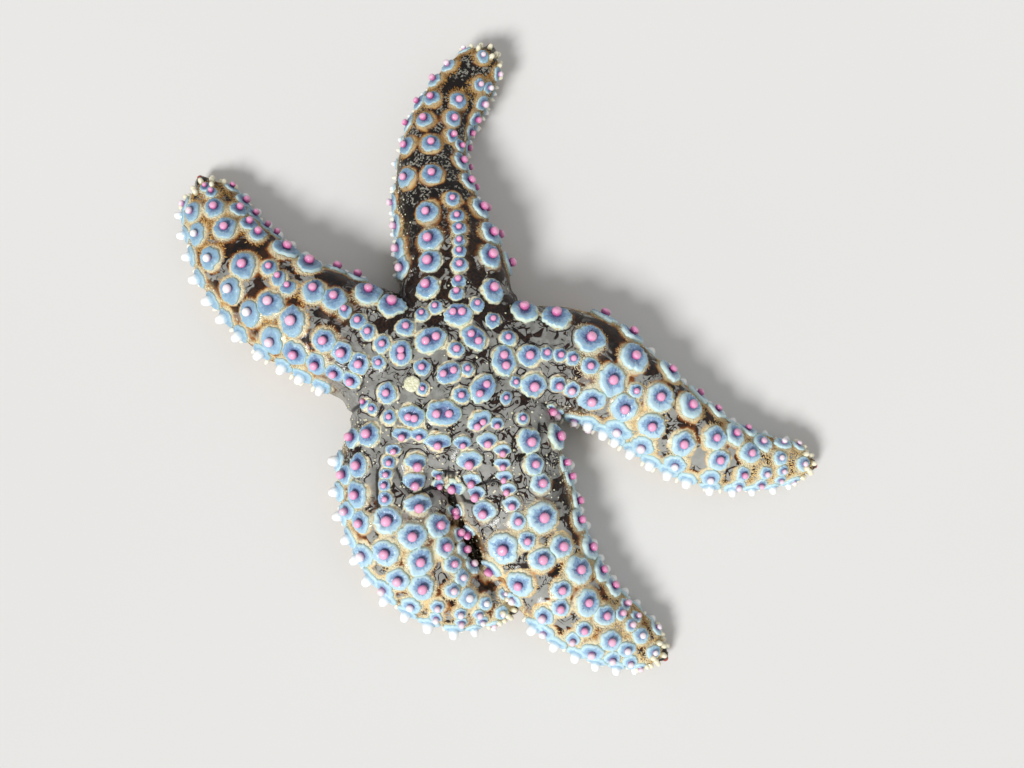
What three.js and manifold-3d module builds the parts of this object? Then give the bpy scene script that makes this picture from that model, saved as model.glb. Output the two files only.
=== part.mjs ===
// Giant-spined sea star, life size, resting on its underside with one arm curled against its neighbour.
// Millimetres, +Z up. The origin is on the floor under the middle of the whole animal.
import * as THREE from 'three';
import { mergeVertices } from 'three/addons/utils/BufferGeometryUtils.js';
import Module from 'manifold-3d';

const wasm = await Module();
wasm.setup();

// ---- driving sizes -------------------------------------------------------------------------------

const GAP = 0.3; // clear space between neighbouring pieces

// central disc
const DISC_RADIUS = 30;
const DISC_HEIGHT = 25.5;
const DISC_SIDES = 20;
const DISC_PROFILE = [ // from the sole's rim up to the middle of the back: shares of the radius and height
  [0.88, 0],
  [0.98, 0.16],
  [1, 0.31],
  [0.93, 0.59],
  [0.78, 0.8],
  [0.45, 0.94],
];
const STUB_START = 18; // where an arm's body starts inside the disc
const DISC_CUT = 28; // where the arms are parted from the disc, along each arm
const ARM_CUTS = [0.36, 0.7]; // the two cuts in the free arm, as shares of its length
const WEDGE = 40; // size of the blocks that trim a piece at its cuts

// arm section, as shares of the half width and height
const MARGIN_LEVEL = 0.32; // height of the widest line
const SHOULDER = { edge: 0.93, level: 0.1 }; // between the widest line and the sole
const SOLE_EDGE = 0.8; // half width of the flat sole
const GROOVE_EDGE = 0.16; // half width of the tube-foot groove
const GROOVE_DEPTH = 0.26;
const GROOVE_STEPS = 3; // lengths of the groove under the disc
const SIDE_FULLNESS = 0.85; // below 1 makes the section fuller at the shoulders
const CROWN_FULLNESS = 0.9;
const UPPER_STEPS = 6; // facets over the back of an arm
const STATION_STEP = 12; // spacing of the sections along an arm
const TIP_RING = 5; // the last section but one lies this far from the tip
const ROUTE_TENSION = 0.5;

// mouth, madreporite and eyespots
const ROUND_SIDES = 10;
const MOUTH = { radius: 4.2, depth: 6.5, crown: 2 };
const LIP = { radius: 2.8, height: 2.6, crown: 0.8, level: 3.2 };
const MADREPORITE = { x: -11.3, y: -2.6, level: 24.2, radius: 2.2, height: 1.5, crown: 0.4 };
const EYESPOT = { radius: 0.9, reach: 0.45, level: 0.55, sides: 6, rings: 4 };

// Distances from first to last at equal spacing.
function evenly(first, last, count) {
  return Array.from({ length: count }, (_, i) => first + ((last - first) * i) / (count - 1));
}

// Each arm is a route of stations: [x, y, half width, height, ridge shift to its left, lift of its sole].
// Each row of spines on it: [kind, angle of the first, angle of the last, distances].
// Distances run along the arm from the disc's middle. Angles run over the back from the
// right margin (0) past the ridge (90) to the left margin (180), looking outward.
const ARMS = {
  north: {
    stations: [
      [1, 4, 16, 25.5, 0, 0],
      [0, 26, 15.5, 23, -2, 0],
      [-2, 36, 14, 21, -3, 0],
      [-4, 44.5, 12.5, 19.5, -3, 0],
      [-6, 53, 11, 18, -2, 0],
      [-6.5, 63, 9.5, 16, 0, 0],
      [-4.5, 73, 8.5, 14, 0, 0],
      [0.4, 81.8, 8.4, 12.4, 0, 0.6],
      [5.2, 88.6, 7.2, 10.8, 0, 2],
      [8, 92.6, 5.2, 9, 0, 2.8],
      [9.4, 95.2, 2.4, 6.5, 0, 3.4],
    ],
    rows: [
      ['ridge', 95, 87, [22, 25.3, 29.5, 33, 36, 39.5, 43, 48]],
      ['back', 97, 92, [56.5, 65.5]],
      ['tip', 112, 118, [72, 78]],
      ['tip', 63, 80, [69.5, 75.2, 81.1]],
      ['back', 122, 115, [24.7, 32.5, 38.5, 46.3]],
      ['back', 135, 135, [57, 65]],
      ['side', 157, 172, [34.3, 39.7, 46.9, 53]],
      ['tip', 154, 136, [71.3, 76.5, 83.5, 88.6]],
      ['back', 64, 62, [22.9, 30.7]],
      ['back', 47, 42, [37.3, 45, 54, 61.5, 67.5]],
      ['tip', 64, 64, [88.9]],
      ['side', 17, 6, evenly(30, 70, 6)],
      ['tip', 16, 41, [76.1, 81, 85.7, 90.5]],
      ['tip', 30, 150, [95.5, 96, 95.5]],
      ['margin', 190, 190, evenly(34, 92, 11)],
      ['margin', -16, -16, evenly(33, 92, 11)],
    ],
  },
  west: {
    stations: [
      [-3, 1, 16, 25.5, 0, 0],
      [-20, 8.5, 16.5, 23.5, -2, 0],
      [-33.5, 14, 15.5, 22, -3, 0],
      [-46, 20.5, 14.2, 20, -3.5, 0],
      [-57.5, 31.5, 12.3, 17, -2.5, 0],
      [-63.8, 41.5, 9.8, 14, -1, 0],
      [-66.6, 48.4, 8.4, 11.5, 0, 0.3],
      [-68.4, 52.6, 5.8, 9, 0, 0.8],
      [-69.6, 55, 2.6, 6, 0, 1.2],
    ],
    rows: [
      ['ridge', 95, 86, [20.7, 25.5, 29, 33.3]],
      ['back', 80, 82, [37.5, 43.5]],
      ['ridge', 90, 87, [50.7, 54.6, 58.5]],
      ['back', 100, 90, [64, 76]],
      ['tip', 88, 82, [82.9, 87.6]],
      ['back', 118, 110, [24.3, 29.7, 35.1, 44.7, 52]],
      ['side', 136, 140, [24.9, 29.8, 34.8, 41, 47]],
      ['side', 131, 126, [54.5, 62, 71]],
      ['tip', 130, 123, [78.7, 84.3]],
      ['back', 60, 57, [23, 29.7]],
      ['back', 50, 50, [50.7, 60]],
      ['tip', 62, 54, [69.5, 74.4, 80.3]],
      ['side', 22, 21, [35.7, 41.7]],
      ['tip', 23, 26, [67.5, 72.2, 77.6, 83.6]],
      ['tip', 25, 150, [88.5, 90, 88.5]],
      ['margin', 163, 163, evenly(32, 86, 11)],
      ['margin', -16, -16, evenly(34, 86, 10)],
    ],
  },
  southwest: {
    stations: [
      [-2, -3, 14, 25.5, 0, 0],
      [-12, -13, 14, 23, 0, 0],
      [-15.8, -22.5, 14.8, 21.5, 0, 0],
      [-15.2, -32, 14.8, 20, 0, 0],
      [-11.2, -42.6, 14.2, 18.5, 0, 0],
      [-6, -50, 13, 16.5, 0, 0],
      [1, -55.4, 10.8, 13.5, 0, 0],
      [8.6, -58.2, 7.6, 10.5, 0, 0.4],
      [13.6, -59.8, 4.6, 8, 0, 0.8],
      [16.2, -60.6, 2, 5.5, 0, 1.2],
    ],
    rows: [
      ['ridge', 90, 82, [21.2, 25.4, 28.4, 31.2, 33.8, 37]],
      ['back', 79, 92, [42, 48.1]],
      ['back', 88, 71, [54.7, 59.6]],
      ['back', 60, 50, [23.6, 29.7, 34.8, 40.5]],
      ['back', 63, 58, [48.8, 54.9]],
      ['side', 40, 30, [18.8, 24.8, 31.1, 37.6, 47.1, 54.7]],
      ['back', 109, 106, [27.8, 34.4, 41.4]],
      ['ridge', 135, 137, [30.2, 35.6]],
      ['back', 120, 104, [48.6, 55.9, 61.6, 66.1]],
      ['side', 147, 134, [46.7, 55.5, 61.8, 67.5]],
      ['tip', 88, 86, [65.7, 70.2, 75]],
      ['tip', 61, 66, [64.9, 69.7, 74.2]],
      ['tip', 39, 50, [60.5, 65.9, 70.7, 75.7]],
      ['margin', 17, 17, evenly(29, 79, 12)],
      ['tip', 25, 120, [79, 80, 79]],
    ],
  },
  southeast: {
    stations: [
      [2, -3, 14, 25.5, 0, 0],
      [12.5, -13, 15, 23, 0, 0],
      [14.6, -26, 16.4, 21.5, 0, 0],
      [18.9, -38, 15.4, 20, 0, 0],
      [24.5, -48, 13.4, 18, 0, 0],
      [32, -58.5, 11.7, 15.5, 0, 0],
      [41, -65.2, 9.8, 12.8, 0, 0],
      [49.8, -69.6, 7.2, 9.8, 0, 0.4],
      [54.2, -71.8, 4.8, 7.6, 0, 0.8],
      [56.6, -73, 2.2, 5.2, 0, 1.2],
    ],
    rows: [
      ['ridge', 86, 84, [17, 25.2, 28.6, 31.6, 34.8, 38.6, 42.8, 48.2]],
      ['back', 87, 87, [54.2, 63.6]],
      ['back', 74, 72, [67, 74.5]],
      ['back', 97, 98, [70.9, 77.1]],
      ['back', 107, 111, [23, 29, 35.6]],
      ['back', 102, 113, [44.6, 54.2, 62]],
      ['tip', 115, 101, [80.8, 85.1, 88.8]],
      ['side', 147, 165, [22.4, 29, 36.2, 44.6]],
      ['side', 151, 151, [50.6, 58.9, 67.2, 75.5]],
      ['tip', 136, 129, [81.1, 85.8]],
      ['back', 54, 60, [26.8, 30.8, 33.6, 37.9, 47.3]],
      ['side', 27, 23, [30.8, 36, 41, 50]],
      ['side', 50, 48, [56.6, 66.2, 74]],
      ['side', 22, 24, [59.7, 68.8]],
      ['tip', 76, 73, [81.9, 86.7]],
      ['tip', 43, 47, [79.6, 84.6, 89.5]],
      ['tip', 25, 150, [93, 94, 92.5]],
      ['margin', 17, 17, evenly(67, 92, 6)],
      ['margin', 196, 196, evenly(32, 91, 12)],
    ],
  },
  east: {
    stations: [
      [3, 1, 16, 25.5, 0, 0],
      [24.5, 6.5, 15.2, 23.5, 0, 0],
      [37.5, 3.8, 14.6, 22, 0, 0],
      [48, -2.5, 12.8, 20, 0, 0],
      [59, -11, 11.6, 18, 0, 0],
      [71.5, -18, 9.8, 15, 0, 0],
      [82, -20.3, 8, 12.4, 0, 0],
      [91, -20.6, 6.2, 9.8, 0, 0.5],
      [96.4, -21, 4.4, 7.6, 0, 1],
      [99.4, -21.3, 2.2, 5.2, 0, 1.4],
    ],
    rows: [
      ['ridge', 89, 86, [24.4, 28, 31.8, 37]],
      ['back', 84, 84, [44.2]],
      ['ridge', 88, 88, [51.2]],
      ['back', 97, 97, [57.4]],
      ['back', 98, 92, [76.6, 88, 97]],
      ['side', 140, 128, [21.4, 27.4]],
      ['back', 107, 115, [34.6, 46]],
      ['back', 117, 122, [66, 82.5, 92]],
      ['side', 162, 145, [36.4, 43, 55.6]],
      ['side', 158, 150, [67, 74.3, 87.5]],
      ['back', 63, 55, [19, 28, 34.6, 41.8]],
      ['back', 66, 76, [51.4, 60.4, 69.6, 80]],
      ['side', 28, 5, [24, 31, 39.4, 47]],
      ['side', 35, 42, [54.4, 62, 71, 80]],
      ['tip', 61, 69, [87, 93, 97.8]],
      ['tip', 32, 45, [86.9, 92.4, 97.6]],
      ['tip', 130, 130, [98.5]],
      ['tip', 25, 145, [102.5, 104, 103]],
      ['margin', 17, 17, evenly(46, 101, 12)],
      ['margin', 196, 196, evenly(38, 101, 12)],
    ],
  },
};

// Pairs of spines on the disc: [x, y, turn in degrees, half the distance between the two].
const DISC_PAIRS = [
  [-2, 0.3, 20, 1.4],
  [4.6, 9.6, -45, 1.35],
  [-6.6, 9, 25, 1.5],
  [12.4, 3.7, -80, 1.4],
  [6.9, -3.8, 55, 1.5],
  [-3.4, -10.2, 0, 1.6],
  [6.2, -12.6, 40, 0.9],
  [-11.4, -11.2, -10, 0.8],
  [-14.3, 5.4, -85, 0.8],
  [0.3, 16.4, 0, 1.2],
];

// Single spines on the disc: [x, y].
const DISC_SINGLES = [
  [0, 6.5], [2.8, 1.3], [-8.8, 1.7], [1.3, -5.5],
  [5.3, 18.8], [-5.4, 18.1], [-9, 16.1], [-13.3, 12.4], [-20, 3.2],
  [-17.7, -4.9], [-17, -11], [-9.4, -15.9], [-4.6, -17.9], [1.8, -17.9], [8.2, -17.5],
  [17.3, -11], [12.9, -5.9], [15.5, -1.7], [19.1, 5.2], [13.6, 9.9],
  [9.5, 14.8],
];

// Spines by kind: radius at the skin, height above it, and how far they lean toward the arm's tip.
const SPINES = {
  ridge: { radius: 1.4, height: 2.2, lean: 0.1 },
  back: { radius: 1.8, height: 3, lean: 0.12 },
  side: { radius: 1.7, height: 3, lean: 0.15 },
  tip: { radius: 1.3, height: 2.2, lean: 0.2 },
  margin: { radius: 1.4, height: 3.2, lean: 0.15 },
  disc: { radius: 1.6, height: 2.5, lean: 0 },
};
const SPINE_SIDES = 3;
const SPINE_ROOT = 1.8; // how deep a spine is set in the body
const DISC_FAN = 90; // depth under the disc's middle that its spines point away from

// ---- colours ------------------------------------------------------------------------------------

const BACK_COLOUR = 0x86a9c2;
const TIP_COLOUR = 0xc99a55;
const DISC_COLOUR = 0x7d7b76;
const PLATE_COLOUR = 0xe6e5c8;
const LIP_COLOUR = 0xcdb394;
const EYE_COLOUR = 0xa03a2c;
const SKIN_ROUGHNESS = 0.45;
const PLATE_ROUGHNESS = 0.8;

// ---- solids and meshes --------------------------------------------------------------------------

function toSolid(geometry) {
  const bare = geometry.clone();
  bare.deleteAttribute('normal');
  bare.deleteAttribute('uv');
  const merged = mergeVertices(bare, 1e-4);
  const index = merged.index.array;
  const corners = [];
  for (let i = 0; i < index.length; i += 3) {
    const [a, b, c] = [index[i], index[i + 1], index[i + 2]];
    const isFlat = a === b || b === c || c === a;
    if (!isFlat) corners.push(a, b, c);
  }
  return new wasm.Manifold(new wasm.Mesh({
    numProp: 3,
    vertProperties: new Float32Array(merged.attributes.position.array),
    triVerts: new Uint32Array(corners),
  }));
}

function toMesh(solid, name, colour, roughness) {
  const data = solid.getMesh();
  const geometry = new THREE.BufferGeometry();
  geometry.setAttribute('position', new THREE.BufferAttribute(new Float32Array(data.vertProperties), 3));
  geometry.setIndex(new THREE.BufferAttribute(new Uint32Array(data.triVerts), 1));
  geometry.computeVertexNormals();
  const material = new THREE.MeshStandardMaterial({ color: colour, roughness, metalness: 0 });
  const mesh = new THREE.Mesh(geometry, material);
  mesh.name = name;
  return mesh;
}

// ---- the arm's surface --------------------------------------------------------------------------

// Smooth curves through an arm's stations: its path over the floor, its section sizes and its pose.
function makeRoute(stations) {
  const through = (pick) => {
    const points = stations.map((station) => new THREE.Vector3(...pick(station), 0));
    return new THREE.CatmullRomCurve3(points, false, 'catmullrom', ROUTE_TENSION);
  };
  const path = through(([x, y]) => [x, y]);
  const sizes = through(([, , halfWidth, height]) => [halfWidth, height]);
  const poses = through(([, , , , shift, lift]) => [shift, lift]);
  const start = Math.hypot(stations[0][0], stations[0][1]);
  const length = start + path.getLength();
  return { path, sizes, poses, start, length };
}

// The route's place, heading and section sizes at a distance from the disc's middle.
function stationAt(route, distance) {
  const share = THREE.MathUtils.clamp((distance - route.start) / (route.length - route.start), 0, 1);
  const t = route.path.getUtoTmapping(share);
  const place = route.path.getPoint(t);
  const heading = route.path.getTangent(t).setZ(0).normalize();
  const left = new THREE.Vector3(-heading.y, heading.x, 0);
  const size = route.sizes.getPoint(t);
  const pose = route.poses.getPoint(t);
  const lift = Math.max(0, pose.y);
  return { place, heading, left, halfWidth: size.x, height: size.y, shift: pose.x, lift };
}

// A point over the back, at an angle from the right margin (0) to the left margin (180).
// Angles a little below 0 or above 180 reach the rounded side under the margin.
function backPoint(station, degrees, extra = 0) {
  const halfWidth = station.halfWidth + extra;
  const height = station.height + extra;
  const margin = MARGIN_LEVEL * height;
  const angle = THREE.MathUtils.degToRad(degrees);
  const across = Math.cos(angle);
  const up = Math.sin(angle);
  let side = -Math.sign(across) * Math.abs(across) ** SIDE_FULLNESS * halfWidth;
  let level = margin + up * margin;
  if (up >= 0) {
    side += station.shift * up * up;
    level = margin + (height - margin) * up ** CROWN_FULLNESS;
  }
  return station.place.clone().addScaledVector(station.left, side).setZ(level + station.lift);
}

// Square to the skin at a place on the back, from its slopes over a short step and turn.
function backNormal(route, distance, degrees) {
  const step = 0.4;
  const turn = 3;
  const here = stationAt(route, distance);
  const along = backPoint(stationAt(route, distance + step), degrees)
    .sub(backPoint(stationAt(route, distance - step), degrees));
  const round = backPoint(here, degrees + turn).sub(backPoint(here, degrees - turn));
  return along.cross(round).normalize();
}

// One closed section of the arm: over the back from right to left, then under it and into the groove.
function sectionRing(station, extra) {
  const ring = [];
  for (let i = 0; i <= UPPER_STEPS; i += 1) ring.push(backPoint(station, (180 * i) / UPPER_STEPS, extra));
  const halfWidth = station.halfWidth + extra;
  const under = (share, level) => station.place.clone()
    .addScaledVector(station.left, share * halfWidth)
    .setZ(level + station.lift);
  const shoulder = SHOULDER.level * station.height;
  ring.push(under(SHOULDER.edge, shoulder), under(SOLE_EDGE, 0), under(GROOVE_EDGE, 0));
  ring.push(under(0, GROOVE_DEPTH * station.height));
  ring.push(under(-GROOVE_EDGE, 0), under(-SOLE_EDGE, 0), under(-SHOULDER.edge, shoulder));
  return ring;
}

// A closed skin over a run of equal rings, with a flat cap at each end.
function loft(rings) {
  const points = rings.flat();
  const count = rings[0].length;
  const corners = [];
  for (let i = 0; i + 1 < rings.length; i += 1) {
    for (let j = 0; j < count; j += 1) {
      const a = i * count + j;
      const b = i * count + ((j + 1) % count);
      corners.push(a, b + count, b, a, a + count, b + count);
    }
  }
  [0, rings.length - 1].forEach((end) => {
    const middle = new THREE.Vector3();
    rings[end].forEach((point) => middle.addScaledVector(point, 1 / count));
    points.push(middle);
    for (let j = 0; j < count; j += 1) {
      const a = end * count + j;
      const b = end * count + ((j + 1) % count);
      if (end === 0) corners.push(a, b, points.length - 1);
      else corners.push(b, a, points.length - 1);
    }
  });
  const geometry = new THREE.BufferGeometry().setFromPoints(points);
  geometry.setIndex(corners);
  return geometry;
}

function armBody(route, from, to, extra = 0) {
  const end = Math.min(to, route.length - TIP_RING);
  const steps = Math.max(2, Math.round((end - from) / STATION_STEP));
  const rings = [];
  for (let i = 0; i <= steps; i += 1) {
    rings.push(sectionRing(stationAt(route, from + ((end - from) * i) / steps), extra));
  }
  if (end < to) rings.push(sectionRing(stationAt(route, to), extra));
  return toSolid(loft(rings));
}

// ---- spines -------------------------------------------------------------------------------------

function spineSolid(kind, place, normal, extra = 0) {
  const { radius, height } = SPINES[kind];
  const whole = height + SPINE_ROOT;
  const rootRadius = (radius * whole) / height;
  const geometry = new THREE.ConeGeometry(rootRadius + extra, whole + extra, SPINE_SIDES, 1);
  geometry.translate(0, (whole + extra) / 2 - SPINE_ROOT, 0);
  geometry.applyQuaternion(new THREE.Quaternion().setFromUnitVectors(new THREE.Vector3(0, 1, 0), normal));
  geometry.translate(place.x, place.y, place.z);
  return toSolid(geometry);
}

// All spine places of an arm between two distances: {kind, place, normal}.
function armSpines(arm, route, from, to) {
  const found = [];
  arm.rows.forEach(([kind, startAngle, endAngle, distances]) => {
    distances.forEach((distance, i) => {
      const angle = THREE.MathUtils.lerp(startAngle, endAngle, i / Math.max(1, distances.length - 1));
      if (distance >= from && distance < to) {
        const station = stationAt(route, distance);
        const normal = backNormal(route, distance, angle)
          .addScaledVector(station.heading, SPINES[kind].lean).normalize();
        found.push({ kind, place: backPoint(station, angle), normal });
      }
    });
  });
  return found;
}

function joinSpines(found, extra = 0) {
  const solids = found.map(({ kind, place, normal }) => spineSolid(kind, place, normal, extra));
  return solids.reduce((joined, next) => joined.add(next));
}

// ---- cuts ---------------------------------------------------------------------------------------

// A block that starts at a station's plane and reaches forward or back along the arm.
function wedge(route, distance, forward) {
  const station = stationAt(route, distance);
  const geometry = new THREE.BoxGeometry(WEDGE, WEDGE, WEDGE * 2);
  geometry.translate(((forward ? 1 : -1) * WEDGE) / 2, 0, 0);
  geometry.rotateZ(Math.atan2(station.heading.y, station.heading.x));
  geometry.translate(station.place.x, station.place.y, 0);
  return toSolid(geometry);
}

function cutPlaces(route) {
  const free = route.length - DISC_CUT;
  return [DISC_CUT, ...ARM_CUTS.map((share) => DISC_CUT + free * share), route.length];
}

// ---- pieces -------------------------------------------------------------------------------------

// One length of an arm with its spines, trimmed at its cuts; extra makes it larger all over.
function armPiece(arm, route, from, to, extra = 0) {
  const isTip = to >= route.length;
  let solid = armBody(route, from + GAP / 2, isTip ? to : to - GAP / 2, extra);
  solid = solid.add(joinSpines(armSpines(arm, route, from, isTip ? Infinity : to), extra));
  solid = solid.subtract(wedge(route, from + GAP / 2, false));
  if (!isTip) solid = solid.subtract(wedge(route, to - GAP / 2, true));
  return solid;
}

// Spines stand on the disc's own skin, found by looking straight down on it.
function discSpines(skin) {
  const surface = toMesh(skin, 'skin', DISC_COLOUR, SKIN_ROUGHNESS);
  const down = new THREE.Vector3(0, 0, -1);
  const found = [];
  const add = (x, y) => {
    const ray = new THREE.Raycaster(new THREE.Vector3(x, y, DISC_HEIGHT * 2), down);
    const place = ray.intersectObject(surface)[0].point;
    const normal = new THREE.Vector3(x, y, DISC_FAN).normalize();
    found.push({ kind: 'disc', place, normal });
  };
  DISC_PAIRS.forEach(([x, y, turn, spread]) => {
    const angle = THREE.MathUtils.degToRad(turn);
    const dx = Math.cos(angle) * spread;
    const dy = Math.sin(angle) * spread;
    add(x + dx, y + dy);
    add(x - dx, y - dy);
  });
  DISC_SINGLES.forEach(([x, y]) => add(x, y));
  return found;
}

function discDome() {
  const profile = [[0, 0], ...DISC_PROFILE, [0, 1]]
    .map(([out, up]) => new THREE.Vector2(out * DISC_RADIUS, up * DISC_HEIGHT));
  const geometry = new THREE.LatheGeometry(profile, DISC_SIDES);
  return toSolid(geometry.rotateX(Math.PI / 2));
}

// The tube-foot groove of one arm carried on under the disc to the mouth.
function discGroove(route) {
  const rings = [];
  for (let i = 0; i <= GROOVE_STEPS; i += 1) {
    const station = stationAt(route, THREE.MathUtils.lerp(route.start, DISC_CUT + 1, i / GROOVE_STEPS));
    const under = (share, level) => station.place.clone()
      .addScaledVector(station.left, share * station.halfWidth).setZ(level);
    rings.push([
      under(GROOVE_EDGE * 2, -GROOVE_DEPTH * station.height),
      under(-GROOVE_EDGE * 2, -GROOVE_DEPTH * station.height),
      under(0, GROOVE_DEPTH * station.height),
    ]);
  }
  return toSolid(loft(rings));
}

// A round plug standing on its lower face, used for the mouth, the madreporite and their seats.
function plug(radius, height, crown) {
  const profile = [
    new THREE.Vector2(0, 0),
    new THREE.Vector2(radius, 0),
    new THREE.Vector2(radius, height - crown),
    new THREE.Vector2(0, height),
  ];
  return new THREE.LatheGeometry(profile, ROUND_SIDES).rotateX(Math.PI / 2);
}

function madreporiteShape(extra) {
  const { x, y, level, radius, height, crown } = MADREPORITE;
  return plug(radius + extra, height + extra, crown).translate(x, y, level - extra);
}

function discPiece(routes) {
  let solid = discDome();
  Object.values(routes).forEach((route) => {
    solid = solid.add(armBody(route, STUB_START, DISC_CUT + GAP));
  });
  const rooted = Object.entries(ARMS).map(([name, arm]) => armSpines(arm, routes[name], 0, DISC_CUT));
  solid = solid.add(joinSpines([...discSpines(solid), ...rooted.flat()]));
  Object.values(routes).forEach((route) => {
    solid = solid.subtract(discGroove(route));
    solid = solid.subtract(wedge(route, DISC_CUT - GAP / 2, true));
  });
  const below = 1; // the cut for the mouth starts clear under the sole
  const mouth = plug(MOUTH.radius, MOUTH.depth + below, MOUTH.crown).translate(0, 0, -below);
  solid = solid.subtract(toSolid(mouth));
  return solid.subtract(toSolid(madreporiteShape(GAP)));
}

function lipPiece() {
  return toSolid(plug(LIP.radius, LIP.height, LIP.crown).translate(0, 0, LIP.level));
}

function eyespotShape(route, extra) {
  const station = stationAt(route, route.length);
  const geometry = new THREE.SphereGeometry(EYESPOT.radius + extra, EYESPOT.sides, EYESPOT.rings);
  const place = station.place.clone().addScaledVector(station.heading, EYESPOT.reach);
  return geometry.translate(place.x, place.y, station.lift + station.height * EYESPOT.level);
}

// ---- assembly -----------------------------------------------------------------------------------

const star = new THREE.Group();
const routes = {};
Object.entries(ARMS).forEach(([name, arm]) => {
  routes[name] = makeRoute(arm.stations);
});

star.add(toMesh(discPiece(routes), 'disc', DISC_COLOUR, SKIN_ROUGHNESS));
star.add(toMesh(toSolid(madreporiteShape(0)), 'madreporite', PLATE_COLOUR, PLATE_ROUGHNESS));
star.add(toMesh(lipPiece(), 'mouth', LIP_COLOUR, SKIN_ROUGHNESS));

const LENGTH_NAMES = ['base', 'middle', 'tip'];

Object.entries(ARMS).forEach(([name, arm]) => {
  const route = routes[name];
  const cuts = cutPlaces(route);
  LENGTH_NAMES.forEach((part, i) => {
    let solid = armPiece(arm, route, cuts[i], cuts[i + 1]);
    if (part === 'tip') solid = solid.subtract(toSolid(eyespotShape(route, GAP)));
    // Where the two lower arms press together, the southwest one gives way.
    if (name === 'southwest') {
      const neighbourCuts = cutPlaces(routes.southeast);
      LENGTH_NAMES.forEach((_, j) => {
        const [start, end] = [neighbourCuts[j], neighbourCuts[j + 1]];
        solid = solid.subtract(armPiece(ARMS.southeast, routes.southeast, start, end, GAP));
      });
    }
    const colour = part === 'tip' ? TIP_COLOUR : BACK_COLOUR;
    star.add(toMesh(solid, `arm_${name}_${part}`, colour, SKIN_ROUGHNESS));
  });
  star.add(toMesh(toSolid(eyespotShape(route, 0)), `eyespot_${name}`, EYE_COLOUR, SKIN_ROUGHNESS));
});

// The origin moves from the disc's middle to the middle of the whole animal's footprint.
const box = new THREE.Box3().setFromObject(star);
const centre = box.getCenter(new THREE.Vector3());
star.position.set(-centre.x, -centre.y, -box.min.z);

export default star;
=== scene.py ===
# Giant-spined sea star: one continuous skin with its cushions, spines, granules and tube feet,
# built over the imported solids. Shapes are worked out in millimetres from the disc's middle.
import math

import bpy
import numpy as np
from mathutils import Matrix, Vector, noise
from mathutils.bvhtree import BVHTree


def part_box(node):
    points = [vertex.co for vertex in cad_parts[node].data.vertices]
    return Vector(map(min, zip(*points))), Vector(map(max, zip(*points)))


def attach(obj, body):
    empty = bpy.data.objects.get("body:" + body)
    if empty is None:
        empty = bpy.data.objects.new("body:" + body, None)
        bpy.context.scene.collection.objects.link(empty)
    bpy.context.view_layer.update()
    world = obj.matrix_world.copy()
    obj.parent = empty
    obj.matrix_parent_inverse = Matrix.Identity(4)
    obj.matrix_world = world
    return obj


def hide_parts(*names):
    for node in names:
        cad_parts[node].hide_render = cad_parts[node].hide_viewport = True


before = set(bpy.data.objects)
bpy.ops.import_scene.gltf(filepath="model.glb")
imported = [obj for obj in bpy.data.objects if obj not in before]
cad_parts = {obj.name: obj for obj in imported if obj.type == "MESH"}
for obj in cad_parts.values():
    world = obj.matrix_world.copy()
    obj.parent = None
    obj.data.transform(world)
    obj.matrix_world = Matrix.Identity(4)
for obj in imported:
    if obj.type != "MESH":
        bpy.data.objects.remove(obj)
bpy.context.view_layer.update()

# ---- sizes ---------------------------------------------------------------------------------------

MM = 0.001

DISC_RADIUS = 30
DISC_HEIGHT = 25.5
DISC_PROFILE = [  # sole's rim up to the middle of the back: shares of the radius and height
    [0.86, 0], [0.98, 0.14], [1, 0.31], [0.93, 0.59], [0.78, 0.8], [0.45, 0.94], [0, 1],
]
DOME_RINGS, DOME_SIDES = 50, 120
STUB_START = 16  # where an arm's body starts inside the disc
MARGIN_LEVEL = 0.32  # height of the widest line, as a share of the arm's height
SOLE_EDGE = 0.78
SIDE_FULLNESS = 0.85
CROWN_FULLNESS = 0.9
GROOVE = {"width": 0.24, "depth": 0.2}  # tube-foot groove, shares of the half width and height
MOUTH = {"radius": 5.2, "depth": 6.5}
SOLE_LIFT = 0.7  # the skin's underside stands this high on its granules and spines
SKIN_INSET = 0.25  # the skin lies this far inside the solids, under its granules

SECTION_STEP = 1.2
BACK_POINTS = 44
END_TURNS = [20, 40, 58, 74, 86]  # degrees at which the rings of an arm's rounded end stand
CORE_LEVEL = 0.45  # the level that the rounded end shrinks to, as a share of the arm's height
EDGE_POINTS = 8
SOLE_POINTS = 14
VOXEL = 0.66
SMOOTH_ROUNDS = 14
LUMPS = [(0.35, 9, 1), (0.15, 3.6, 2)]  # unevenness of the skin: height, size, seed
LAY_STEP = 0.6  # between the places on an arm's line that points are measured from
FAR = 1e9
SEED = 7

# Each arm is a route of stations: [x, y, half width, height, ridge shift to its left, lift of its sole].
# Each row of spines on it: [kind, angle of the first, angle of the last, distances].
# Distances run along the arm from the disc's middle. Angles run over the back from the
# right margin (0) past the ridge (90) to the left margin (180), looking outward.


def evenly(first, last, count):
    return [first + (last - first) * i / (count - 1) for i in range(count)]


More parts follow.
